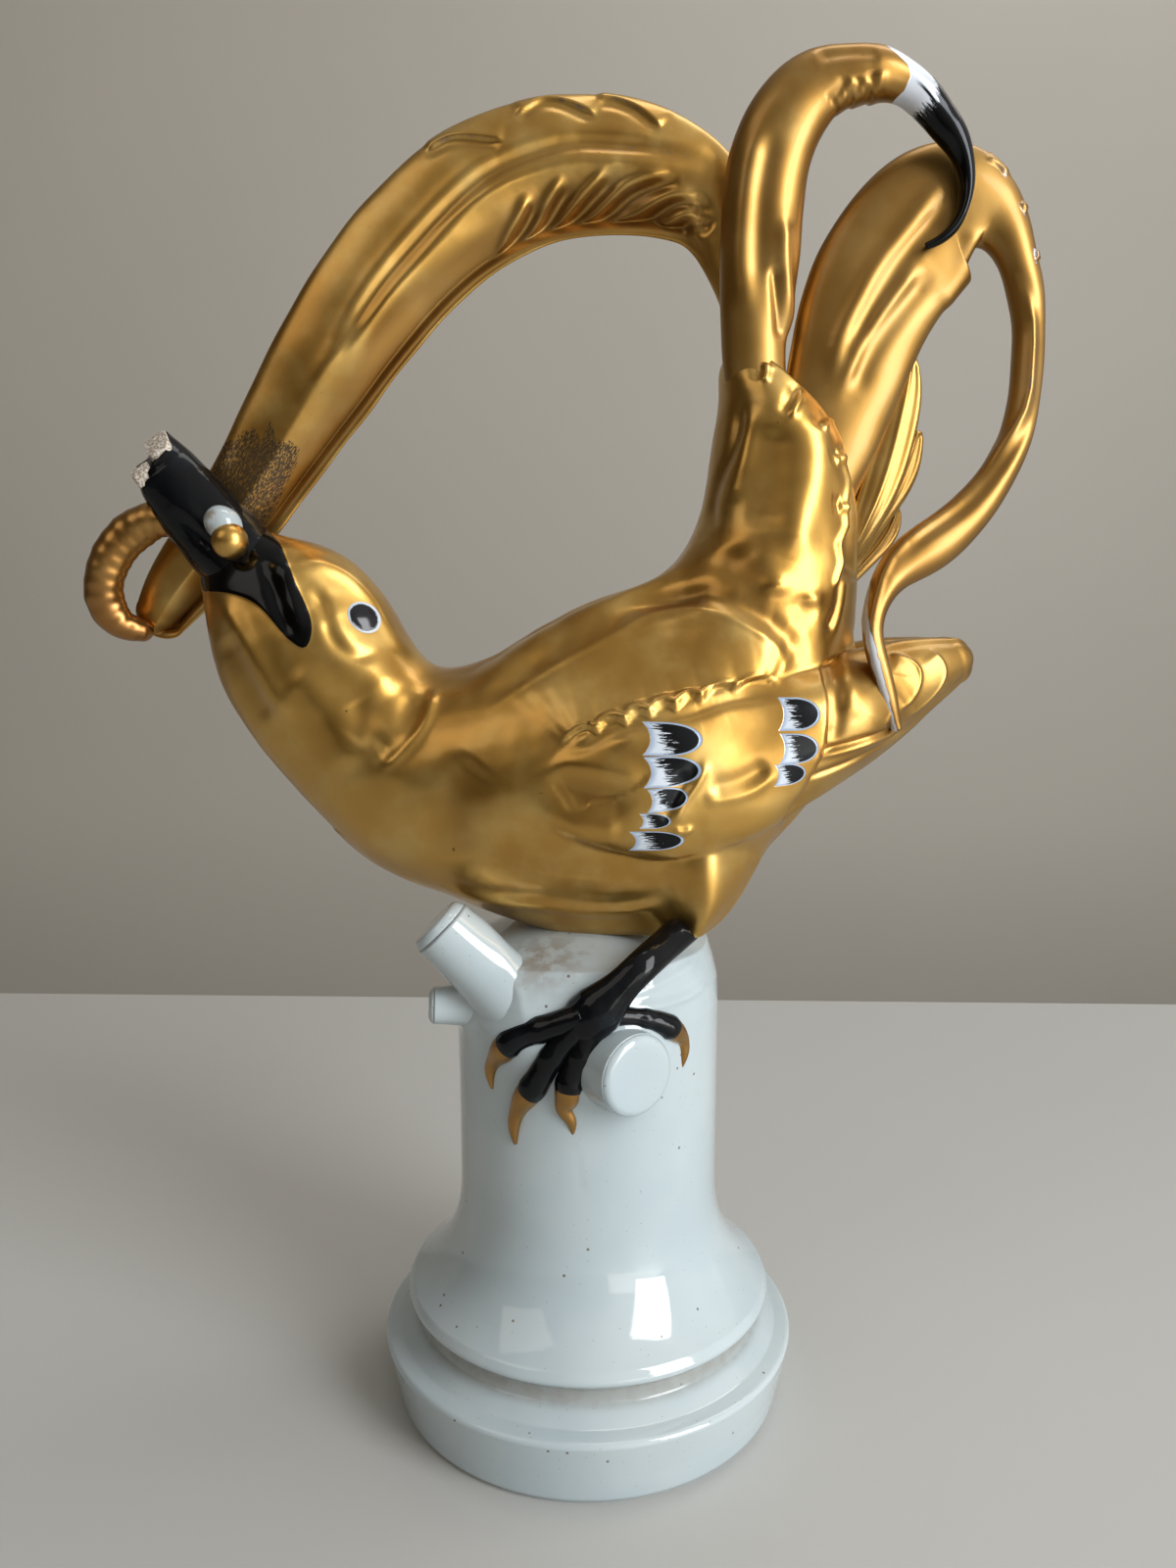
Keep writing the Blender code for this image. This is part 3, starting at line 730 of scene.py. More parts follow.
def rod_rings(start, end, radii, around):
    """Round bar between two points with a list of (share along, radius)."""
    start, end = np.array(start), np.array(end)
    along = unit(end - start)
    aside = unit(np.cross(along, (0.0, 0.0, 1.0)))
    above = np.cross(aside, along)
    ring = round_ring(aside[None], above[None], around)[0]
    return np.array([start + (end - start) * share + ring * radius for share, radius in radii])


# Colours of the finishes: linear red, green, blue and alpha.
GOLD_BROWN = (0.46, 0.248, 0.052, 1)
GOLD_WARM = (0.56, 0.33, 0.078, 1)
GOLD_PALE = (0.62, 0.41, 0.13, 1)
# Painted shade on gold: the dark brown mixed in at recesses and over pieces meant to look shaded.
GOLD_PAINTED_SHADE = (0.17, 0.085, 0.022, 1)
GOLD_COPPER = (0.32, 0.145, 0.045, 1)
GOLD_FLECK = (0.12, 0.06, 0.02, 1)
RUBBED_MARGIN = (0.22, 0.17, 0.15, 1)
RUBBED_BARE = (0.52, 0.53, 0.56, 1)
SMOKE = (0.02, 0.016, 0.012, 1)
TIP_SHADE = (0.52, 0.55, 0.60, 1)
TIP_WHITE = (0.60, 0.65, 0.72, 1)
GLAZE_THICK = (0.40, 0.475, 0.51, 1)
GLAZE_THIN = (0.46, 0.525, 0.55, 1)
# Painted shade on white glaze: grey for the flange groove, the spot under the bird and the grub's cap.
GLAZE_PAINTED_SHADE = (0.24, 0.24, 0.22, 1)
DUST = (0.20, 0.17, 0.13, 1)
SPECK = (0.10, 0.07, 0.04, 1)
FAINT_SPECK = (0.25, 0.19, 0.12, 1)
DEEP_BLACK = (0.0025, 0.003, 0.004, 1)
BLACK_BLOOM = (0.006, 0.009, 0.012, 1)
BREAK_DUST = (0.33, 0.27, 0.21, 1)
BREAK_WHITE = (0.66, 0.61, 0.54, 1)
EYE_SHADE = (0.26, 0.33, 0.42, 1)
EYE_WHITE = (0.52, 0.57, 0.64, 1)
WHITE = (0.60, 0.66, 0.74, 1)
PALE_BLUE = (0.30, 0.39, 0.54, 1)
INK = (0.003, 0.0035, 0.006, 1)
BLACK = (0.012, 0.013, 0.015, 1)


class Wiring:
    """Short ways to place and join shader nodes in one tree."""

    def __init__(self, tree):
        self.tree = tree

    def put(self, socket, value):
        if isinstance(value, bpy.types.NodeSocket):
            self.tree.links.new(value, socket)
        else:
            socket.default_value = value

    def node(self, kind, inputs=(), **settings):
        made = self.tree.nodes.new(kind)
        for key, value in settings.items():
            setattr(made, key, value)
        for key, value in dict(inputs).items():
            self.put(made.inputs[key], value)
        return made

    def sum(self, operation, *values):
        made = self.tree.nodes.new("ShaderNodeMath")
        made.operation = operation
        for socket, value in zip(made.inputs, values):
            self.put(socket, value)
        return made.outputs[0]

    def times(self, a, b):
        return self.sum("MULTIPLY", a, b)

    def plus(self, a, b):
        return self.sum("ADD", a, b)

    def minus(self, a, b):
        return self.sum("SUBTRACT", a, b)

    def rest(self, a):
        return self.sum("SUBTRACT", 1.0, a)

    def most(self, a, b):
        return self.sum("MAXIMUM", a, b)

    def over(self, a, b):
        return self.sum("DIVIDE", a, b)

    def vector(self, operation, a, b):
        return self.node("ShaderNodeVectorMath", {0: a, 1: b}, operation=operation).outputs[0]

    def field(self, name):
        return self.node("ShaderNodeAttribute", attribute_name=name).outputs["Fac"]

    def rise(self, value, low, high):
        inputs = {"Value": value, "From Min": low, "From Max": high}
        made = self.node("ShaderNodeMapRange", inputs, interpolation_type="SMOOTHSTEP")
        return made.outputs["Result"]

    def noise(self, vector, scale, detail=3.0, roughness=0.5):
        inputs = {"Vector": vector, "Scale": scale, "Detail": detail, "Roughness": roughness}
        return self.node("ShaderNodeTexNoise", inputs).outputs["Fac"]

    def xyz(self, x, y, z=0.0):
        return self.node("ShaderNodeCombineXYZ", {0: x, 1: y, 2: z}).outputs[0]

    def parts(self, vector):
        return self.node("ShaderNodeSeparateXYZ", {0: vector}).outputs

    def placed(self, tree, **inputs):
        return self.node("ShaderNodeGroup", inputs, node_tree=tree).outputs

    def shade(self, label, value):
        self.put(self.tree.nodes["Principled BSDF"].inputs[label], value)

    def bump(self, height, distance, strength):
        inputs = {"Height": height, "Distance": distance, "Strength": strength}
        self.shade("Normal", self.node("ShaderNodeBump", inputs).outputs[0])

    def blend(self, share, a, b):
        made = self.node("ShaderNodeMix", {0: share, 6: a, 7: b}, data_type="RGBA")
        return made.outputs[2]


def group(name, inputs, outputs):
    """Empty shader node group with the named sockets, and its wiring."""
    tree = bpy.data.node_groups.new(name, "ShaderNodeTree")
    for way, sockets in (("INPUT", inputs), ("OUTPUT", outputs)):
        for label, kind in sockets.items():
            tree.interface.new_socket(name=label, in_out=way, socket_type="NodeSocket" + kind)
    wires = Wiring(tree)
    return tree, wires, wires.node("NodeGroupInput").outputs, wires.node("NodeGroupOutput").inputs


def tone_group():
    """Old gold: warm and brown clouds, duller where thin, darker by painted shade, faintly uneven."""
    tree, w, given, out = group(
        "old_gold_tone", {"Place": "Vector", "Hollow": "Float", "Copper": "Float"},
        {"Color": "Color", "Roughness": "Float", "Height": "Float"}
    )
    clouds = w.noise(given["Place"], 14.0, 4.0)
    streaks = w.noise(given["Place"], 55.0, 5.0)
    fine = w.noise(given["Place"], 420.0, 3.0)
    warm = w.blend(w.rise(clouds, 0.36, 0.68), GOLD_BROWN, GOLD_WARM)
    lively = w.blend(w.rise(streaks, 0.40, 0.80), warm, GOLD_PALE)
    # Painted shade: the given amount blends the gold toward dark brown.
    dark = w.blend(w.times(given["Hollow"], 0.62), lively, GOLD_PAINTED_SHADE)
    copper = w.blend(w.times(given["Copper"], 0.8), dark, GOLD_COPPER)
    w.put(out["Color"], w.blend(w.rise(fine, 0.74, 0.82), copper, GOLD_FLECK))
    rough = w.plus(w.times(streaks, 0.16), w.times(clouds, 0.10))
    w.put(out["Roughness"], w.plus(w.plus(rough, 0.20), w.times(given["Hollow"], 0.10)))
    w.put(out["Height"], w.plus(w.times(streaks, 0.8), w.times(fine, 0.05)))
    return tree


def worn_group():
    """Edges rubbed through to the white body, with a grey margin: a mask that grows with the wear."""
    tree, w, given, out = group(
        "rubbed_edge", {"Place": "Vector", "Wear": "Float"}, {"Bare": "Float", "Margin": "Float"}
    )
    ragged = w.times(w.minus(w.noise(given["Place"], 260.0, 4.0), 0.5), 0.9)
    value = w.plus(given["Wear"], ragged)
    w.put(out["Bare"], w.rise(value, 0.62, 0.74))
    w.put(out["Margin"], w.rise(value, 0.40, 0.62))
    return tree


def speck_group():
    """Small dark kiln specks: middles of scattered cells, kept where a wider noise allows them."""
    tree, w, given, out = group(
        "kiln_specks", {"Place": "Vector", "Scale": "Float", "Size": "Float"}, {"Mask": "Float"}
    )
    cells = w.node("ShaderNodeTexVoronoi", {"Vector": given["Place"], "Scale": given["Scale"]})
    pick = w.node("ShaderNodeSeparateColor", {"Color": cells.outputs["Color"]}).outputs[0]
    spot = w.rest(w.rise(w.over(cells.outputs["Distance"], given["Size"]), 0.6, 1.0))
    w.put(out["Mask"], w.times(spot, w.sum("GREATER_THAN", pick, 0.72)))
    return tree


def mark_group():
    """One painted feather: white at its scalloped left end, black toward its round right end.

    In the feather's own frame u runs right and v up, each from -1 to 1. The outline is a lopsided
    oval, cut on the left by a shallow arc; the black lies well inside it and ends in strokes toward
    the left.
    """
    tree, w, given, out = group(
        "painted_feather", {"Place": "Vector", "Middle": "Vector", "Reach": "Vector", "Slope": "Float"},
        {"Glaze": "Float", "Black": "Float", "Blue": "Float"}
    )
    local = w.parts(w.vector("SUBTRACT", given["Place"], given["Middle"]))
    reach = w.parts(given["Reach"])
    u = w.over(local[0], reach[0])
    lowered = w.minus(local[2], w.times(local[0], given["Slope"]))
    v = w.over(lowered, reach[2])
    right = w.sum("POWER", w.over(w.most(w.plus(u, 0.25), 0.0), 1.25), 2.2)
    height = w.times(v, v)
    oval = w.plus(right, height)
    left = w.plus(w.minus(u, w.times(w.rest(height), 0.26)), 1.0)
    within = w.times(w.rise(oval, 1.03, 0.97), w.rise(left, -0.02, 0.03))
    strokes = w.noise(w.xyz(w.times(u, 1.1), w.times(v, 5.5), reach[0]), 1.6, 5.0, 0.75)
    brush = w.plus(u, w.times(w.minus(strokes, 0.5), 2.6))
    slanted = w.plus(brush, w.times(v, 0.28))
    core = w.times(w.rise(slanted, -0.34, -0.24), w.rise(oval, 0.86, 0.78))
    w.put(out["Glaze"], within)
    w.put(out["Black"], w.times(core, within))
    w.put(out["Blue"], w.most(w.rise(oval, 0.55, 0.95), w.rise(left, 0.30, 0.0)))
    return tree


# Painted feathers on the wing, in shares: middle x and z, half length, half height, slope.
MARKS = [
    (90, 262, 32, 17.5, -0.02), (90, 228, 31, 16.5, 0.04), (85, 198, 22, 13, 0.10),
    (72, 174, 17, 8.5, 0.0), (74, 151, 30, 11.5, 0.02), (228, 287, 23, 17.5, 0.0),
    (228, 250, 21.5, 16.5, 0.0), (219, 222, 17.5, 12, 0.06),
]


def place_in_shares(w, place):
    seat = w.vector("SUBTRACT", place, tuple(SEAT))
    return w.vector("MULTIPLY", seat, (1 / SHARE, 1 / SHARE, 1 / SHARE))


def new_look(name):
    made = bpy.data.materials.new(name)
    made.use_nodes = True
    w = Wiring(made.node_tree)
    place = w.node("ShaderNodeTexCoord").outputs["Object"]
    return made, w, place


def gold_tone(w, place, groups):
    """Old gold with its painted shade and copper shares from the piece's fields."""
    return w.placed(groups["tone"], Place=place, Hollow=w.field("painted_shade"), Copper=w.field("copper"))


def gilded(name, groups, painted=False):
    """Old gold over glaze, with painted feathers, worn edges, a black throat and a smoky patch."""
    made, w, place = new_look(name)
    tone = gold_tone(w, place, groups)
    worn = w.placed(groups["worn"], Place=place, Wear=w.field("wear"))
    lengthwise = w.xyz(w.times(w.field("along"), 60.0), w.times(w.field("across"), 16.0))
    hatch = w.plus(w.noise(lengthwise, 3.0, 6.0), w.times(w.noise(place, 1100.0, 4.0), 0.4))
    smoke = w.plus(w.field("smoke"), w.times(w.minus(hatch, 0.66), 6.5))
    smoke = w.times(w.rise(smoke, 0.50, 0.85), w.rise(w.field("smoke"), 0.05, 0.3))
    color = w.blend(w.times(worn["Margin"], 0.6), tone["Color"], RUBBED_MARGIN)
    color = w.blend(worn["Bare"], color, RUBBED_BARE)
    color = w.blend(w.times(smoke, 0.9), color, SMOKE)
    glaze = worn["Bare"]
    rough = tone["Roughness"]
    if painted:
        shares = place_in_shares(w, place)
        for x, z, half, tall, slope in MARKS:
            middle, reach = (x, 0, z), (half, 1, tall)
            mark = w.placed(groups["mark"], Place=shares, Middle=middle, Reach=reach, Slope=slope)
            shade = w.blend(mark["Black"], w.blend(mark["Blue"], WHITE, PALE_BLUE), BLACK)
            color = w.blend(mark["Glaze"], color, shade)
            glaze = w.most(glaze, w.times(mark["Glaze"], w.rest(mark["Black"])))
        black = w.rise(w.field("throat"), -0.6, 0.6)
        color = w.blend(black, color, BLACK)
        rough = w.times(rough, w.rest(w.times(black, 0.45)))
    w.shade("Coat Weight", 0.30)
    w.shade("Coat Roughness", 0.12)
    w.shade("Base Color", color)
    w.shade("Metallic", w.rest(w.most(glaze, w.times(smoke, 0.25))))
    w.shade("Roughness", w.most(w.times(rough, w.rest(w.times(glaze, 0.6))), w.times(smoke, 0.5)))
    w.bump(w.times(tone["Height"], w.rest(glaze)), 0.0006, 0.35)
    return made


def plume_tip(name, groups):
    """Gold ending in a curved border, then white glaze brushed with black down to the hooked tip."""
    made, w, place = new_look(name)
    tone = gold_tone(w, place, groups)
    past = w.field("past_border")
    across = w.field("across")
    bristles = w.xyz(w.times(past, 0.035), w.times(across, 6.0), w.field("through"))
    strokes = w.noise(bristles, 1.7, 5.0, 0.72)
    reach = w.plus(past, w.times(w.minus(strokes, 0.5), 46.0))
    edge_first = w.plus(reach, w.times(w.sum("ABSOLUTE", across), 9.0))
    ink = w.rise(edge_first, 31.0, 38.0)
    line = w.rise(w.sum("ABSOLUTE", w.plus(across, 0.05)), 0.11, 0.03)
    line = w.times(line, w.rise(past, 4.0, 22.0))
    glaze = w.rise(past, -0.4, 0.4)
    dark = w.most(ink, line)
    painted = w.blend(dark, w.blend(w.rise(past, 26.0, 4.0), TIP_SHADE, TIP_WHITE), BLACK)
    w.shade("Base Color", w.blend(glaze, tone["Color"], painted))
    w.shade("Metallic", w.rest(w.times(glaze, w.rest(dark))))
    w.shade("Coat Weight", 0.30)
    w.shade("Coat Roughness", 0.08)
    w.shade("Roughness", w.times(tone["Roughness"], w.rest(w.times(glaze, 0.55))))
    w.bump(w.times(tone["Height"], w.rest(glaze)), 0.0006, 0.35)
    return made


def white_glazed(name, groups):
    """Glossy white glaze, faintly blue where thick: brown and black kiln specks, dust, painted shade.
    """
    made, w, place = new_look(name)
    masks = []
    for scale, spot in ((150.0, 0.10), (420.0, 0.13)):
        masks.append(w.placed(groups["specks"], Place=place, Scale=scale, Size=spot)["Mask"])
    clouds = w.noise(place, 18.0, 3.0)
    base = w.blend(w.rise(clouds, 0.35, 0.7), GLAZE_THICK, GLAZE_THIN)
    # Painted shade: grey in the flange groove, under the bird and over the grub's cap.
    base = w.blend(w.times(w.field("painted_shade"), 0.75), base, GLAZE_PAINTED_SHADE)
    # Dust, and painted shade in the flange groove and under the bird.
    base = w.blend(w.times(w.field("dirt_and_shade"), w.rise(w.noise(place, 190.0, 5.0), 0.38, 0.62)), base, DUST)
    base = w.blend(w.times(masks[0], 0.85), base, SPECK)
    base = w.blend(w.times(masks[1], 0.55), base, FAINT_SPECK)
    w.shade("Base Color", base)
    w.shade("Roughness", w.plus(0.07, w.times(w.field("dirt_and_shade"), 0.3)))
    w.shade("IOR", 1.52)
    w.shade("Coat Weight", 0.35)
    w.shade("Coat Roughness", 0.03)
    w.bump(w.noise(place, 26.0, 2.0), 0.0012, 0.35)
    return made


def black_glazed(name):
    """Deep black glaze with a faint blue bloom and soft waves."""
    made, w, place = new_look(name)
    bloom = w.rise(w.noise(place, 90.0, 4.0), 0.5, 0.8)
    w.shade("Base Color", w.blend(bloom, DEEP_BLACK, BLACK_BLOOM))
    w.shade("IOR", 1.33)
    w.shade("Roughness", w.plus(0.10, w.times(bloom, 0.07)))
    w.bump(w.noise(place, 140.0, 2.0), 0.0006, 0.5)
    return made


def bare_body(name):
    """Unglazed broken porcelain, off-white and grainy with brown dust."""
    made, w, place = new_look(name)
    grain = w.noise(place, 900.0, 6.0)
    w.shade("Base Color", w.blend(w.rise(grain, 0.40, 0.62), BREAK_DUST, BREAK_WHITE))
    w.shade("Roughness", 0.85)
    w.bump(grain, 0.001, 0.8)
    return made


def eye_glazed(name):
    """Black pupil in a pale blue-white ring, told apart by the distance from the eye's middle."""
    made, w, place = new_look(name)
    out = w.field("from_middle")
    uneven = w.plus(out, w.times(w.minus(w.noise(place, 380.0, 2.0), 0.5), 0.10))
    ring = w.blend(w.rise(uneven, 0.84, 0.94), EYE_SHADE, EYE_WHITE)
    w.shade("Base Color", w.blend(w.rise(uneven, 0.83, 0.87), INK, ring))
    w.shade("Roughness", w.rise(uneven, -6.0, 20.0))
    return made


def corners():
    low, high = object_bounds()
    return [list(low), list(high)]


def stage_set():
    """Table top, wall, camera, window and room lights: none of them belongs to the figurine."""
    floor = bpy.data.meshes.new("table_top")
    floor.from_pydata([(-3, -2.5, 0), (3, -2.5, 0), (3, 0.36, 0), (-3, 0.53, 0)], [], [(0, 1, 2, 3)])
    wall = bpy.data.meshes.new("wall")
    wall.from_pydata([(-4, 1.5, -2), (4, 1.5, -2), (4, 1.5, 3), (-4, 1.5, 3)], [], [(0, 1, 2, 3)])
    for mesh, name, colour in (
        (floor, "table_top", (0.47, 0.47, 0.455, 1)), (wall, "wall_paint", (0.44, 0.415, 0.37, 1))
    ):
        look, w, place = new_look(name)
        duller = tuple(c * 0.93 for c in colour[:3]) + (1,)
        w.shade("Base Color", w.blend(w.noise(place, 3.0), colour, duller))
        w.shade("Roughness", 0.55)
        mesh.materials.append(look)
    for name, mesh in (("floor", floor), ("backdrop", wall)):
        made = bpy.data.objects.new(name, mesh)
        bpy.context.scene.collection.objects.link(made)
        made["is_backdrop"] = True
    data = bpy.data.cameras.new("view")
    data.lens = 27.045
    data.sensor_width = 36.0
    camera = bpy.data.objects.new("view", data)
    camera.location = (0.0, -0.438, 0.309)
    camera.rotation_euler = (math.radians(90 - 8.95), 0.0, 0.0)
    bpy.context.scene.collection.objects.link(camera)
    bpy.context.scene.camera = camera
    for name, place, aim, size, power, colour in (
        ("window", (1.20, -1.05, 0.80), (0, 0, 0.28), (0.75, 1.5), 31, (0.96, 0.98, 1.0)),
        ("room", (-1.4, -1.2, 1.6), (0, 0, 0.25), (1.2, 1.2), 5, (1.0, 0.90, 0.78)),
        ("table_glow", (0.62, -0.85, 0.02), (0.1, 0, 0.4), (0.8, 0.6), 3.0, (1.0, 0.97, 0.88)),
        ("wall_light", (0.9, 0.5, 2.2), (0.3, 1.5, 0.2), (2.2, 0.6), 13, (1.0, 0.98, 0.95)),
    ):
        lamp = bpy.data.lights.new(name, "AREA")
        lamp.shape = "RECTANGLE"
        lamp.size, lamp.size_y = size
        lamp.energy = power
        lamp.color = colour
        made = bpy.data.objects.new(name, lamp)
        made.location = place
        away = np.array(place) - np.array(aim)
        tilt = math.atan2(math.hypot(away[0], away[1]), away[2])
        made.rotation_euler = (tilt, 0.0, math.atan2(away[0], -away[1]))
        bpy.context.scene.collection.objects.link(made)
    world = bpy.data.worlds.new("room_light")
    world.use_nodes = True
    w = Wiring(world.node_tree)
    way = w.parts(w.node("ShaderNodeTexCoord").outputs["Generated"])
    bright = w.rise(w.plus(w.times(way[0], 0.9), w.times(way[2], 0.5)), -0.6, 1.1)
    background = world.node_tree.nodes["Background"]
    w.put(background.inputs["Color"], w.blend(bright, (0.060, 0.048, 0.036, 1), (0.70, 0.68, 0.64, 1)))
    bpy.context.scene.world = world
    bpy.context.scene.view_settings.view_transform = "Standard"


def hollows(relief):
    """Depth of each place below its neighbours' level, from 0 to 1: the painted shade of recesses."""
    return np.clip(-relief / HOLLOW_DEPTH, 0, 1)


def ellipsoid(centre, reach, lean=0.0, around=48, count=32):
    """Rings of an oval ball, in shares, its poles along x, turned by lean degrees in the side view."""
    t = np.linspace(0.03, math.pi - 0.03, count)[:, None]
    bend = circle(around)[None, :]
    x = np.cos(t) * np.ones_like(bend) * reach[0]
    y = np.sin(t) * np.cos(bend) * reach[1]
    z = np.sin(t) * np.sin(bend) * reach[2]
    a = math.radians(lean)
    x, z = x * math.cos(a) - z * math.sin(a), x * math.sin(a) + z * math.cos(a)
    return bird_point(x + centre[0], y + centre[1], z + centre[2])


def bird(looks):
    """Body, wings and thighs, each carved by its relief."""
    rings = trunk(400, 248, 0.74)
    x, z, y = side_view(rings)
    own = np.abs(y)
    wing = standing(WING, x, z, 1.2)
    thigh = standing(THIGH, x, z, 0.35, bell=True)
    covert = to_line(x, z, COVERT_EDGE)[1]
    wing_shown = wing - 9 * smooth(covert, -3, 7)
    out = greater(greater(own, thigh, 100), wing_shown, 14)
    side = np.sign(y) * (own > 1e-6)
    spread = np.where(side > 0, 0.97, 1.0)
    rings[..., 1] = np.where(out > own, side * out * SHARE * spread, rings[..., 1])
    on_wing = smooth(wing - greater(own, thigh, 100), -9, 3)
    relief = trunk_relief(x, z, y) * (1 - 0.9 * on_wing) + wing_relief(x, z, y) * on_wing
    mantle = scallops(SCALLOP_ENDS, 0.22)[::-1]
    relief += step(x, z, mantle, 8, 1.8, 40, soft=False)
    relief += ridge(x, z, moved(mantle, 0, 3), 1.8, 3, soft=False)
    relief += ridge(x, z, moved(SCALLOP_ENDS, 0, -9), -3, 7)
    throat = inside(x, z, bowed(THROAT_PATCH[:12], 60).tolist() + THROAT_PATCH[12:])
    relief = relief + 0.8 * smooth(throat, -2.0, 3.0)
    mouth = rings[-1:].mean(axis=1, keepdims=True)
    rings = carve(rings, relief)
    inner = []
    for shrink, drop in ((0.93, 3), (0.86, 14), (0.80, 30)):
        inner.append(mouth + (rings[-1:] - mouth) * shrink + (0, 0, -drop * SHARE))
    rings = np.concatenate([rings] + inner)
    relief, throat = [np.concatenate([values] + [values[-1:]] * 3) for values in (relief, throat)]
    # Painted shade in the recesses of the carved relief.
    loft("body", rings, looks["painted_gold"], {"painted_shade": hollows(relief), "throat": throat})
    for side, label, count, around in ((1, "near", 420, 160), (-0.97, "far", 240, 110)):
        near = 0.6 if side > 0 else 0.4
        rings, _, _, through = blade(WING, count, around, side, near, (0, 0.9))
        x, z, y = side_view(rings)
        covert = to_line(x, z, COVERT_EDGE)[1]
        folds = wing_relief(x, z, y)
        relief = folds - 3.5 * smooth(np.abs(through), 0.2, 0.6) - 7 * smooth(-covert, 0, 7)
        # Painted shade: some over the whole wing, more in its folds.
        painted_shade = 0.45 + 0.55 * hollows(folds)
        loft("wing_" + label, carve(rings, relief), looks["gold"], {"painted_shade": painted_shade})
        mirror = 1 if side > 0 else -1
        rings, _, across, _ = blade(THIGH, 80, 72, mirror)
        x, z, y = side_view(rings)
        sunk = (5 + 13 * smooth(-across, -0.4, 0.6)) * smooth(z, 40, 80)
        relief = 1.0 * unevenness(x, y, z, 50, 31) - sunk
        # Painted shade where the thigh's relief sinks toward the body.
        loft("thigh_" + label, carve(rings, relief), looks["gold"], {"painted_shade": hollows(relief)})


def plumes(looks):
    """The arching, hooked and ribbon plumes and the three leaf plumes, each a carved blade."""
    rings, along, across, through = blade(ARCH_PLUME, 640, 150, ends=(0.8, 0))
    x, z, y = side_view(rings)
    relief = arch_relief(x, z, y, across, through)
    wear = np.zeros(x.shape)
    for line in ARCH_NOTCHES:
        gap, _, _ = to_line(x, z, bowed(line))
        wear = np.maximum(wear, 0.50 * hump(gap, 2.6) * smooth(through, 0, 0.3))
    gap, _, run = to_line(x, z, ARCH_SHAFT)
    wear = np.maximum(wear, 0.36 * hump(gap, 6) * smooth(run, 0.5, 0.8))
    smoke = 0.85 * inside_soft(x, z, SMOKE_PATCH, 10) * (through > 0)
    # Painted shade in the recesses of the relief; the wear and smoke are the plume's own.
    fields = {"painted_shade": hollows(relief), "wear": wear, "smoke": smoke, "along": along, "across": across}
    loft("arch_plume", carve(rings, relief), looks["gold"], fields)

    rings, along, across, through = blade(HOOK_PLUME, 440, 96)
    x, z, y = side_view(rings)
    relief = hook_relief(x, z, y)
    border = [(300, 1010), (317, 980), (335, 964), (339, 952), (334, 940), (316, 928), (300, 920)]
    _, past, _ = to_line(x, z, border)
    past = np.where(along > 0.80, np.maximum(past, 60), np.where(along < 0.58, -60, past))
    # Painted shade over the whole plume, more in its recesses.
    loft("hook_plume", carve(rings, relief), looks["plume_tip"], {
        "painted_shade": 0.7 + 0.3 * hollows(relief), "copper": 0.1,
        "past_border": past, "across": across, "through": through
    })

    rings, *_ = blade(STRAND_PLUME, 600, 110)
    x, z, y = side_view(rings)
    relief = strand_relief(x, z, y)
    inner_edge = bowed([(312, 430), (307, 400), (311, 365), (321, 328), (331, 292), (341, 262)])
    wear = 1.15 * hump(to_line(x, z, inner_edge)[0], 4.2)
    wear = np.maximum(wear, 0.46 * hump(to_line(x, z, RIBBON_EDGE[2:8])[0], 3.0))
    for line in (
        [(436, 884), (448, 880), (458, 868)], [(474, 838), (480, 826)], [(492, 790), (494, 776)]
    ):
        wear = np.maximum(wear, 0.60 * hump(to_line(x, z, line)[0], 4.0))
    # Painted shade over the whole plume, more in its recesses.
    fields = {"painted_shade": 0.85 + 0.15 * hollows(relief), "copper": 0.1, "wear": wear}
    loft("strand_plume", carve(rings, relief), looks["gold"], fields)

    for i, table in enumerate(LEAVES):
        rings, _, across, through = blade(table, 140, 72)
        cup = 3.2 * (smooth(np.abs(across), 0.55, 0.95) - 0.6) * (through > -0.2)
        relief = cup + 1.5 * hump(across + 0.1, 0.12)
        wear = 0.35 * smooth(np.abs(across), 0.9, 1.0)
        # Painted shade: some over each leaf, more in its cupped middle.
        fields = {"painted_shade": 0.4 + 0.6 * np.clip(hollows(relief) * 1.6, 0, 1), "wear": wear}
        loft("leaf_plume_%d" % i, carve(rings, relief), looks["gold"], fields)


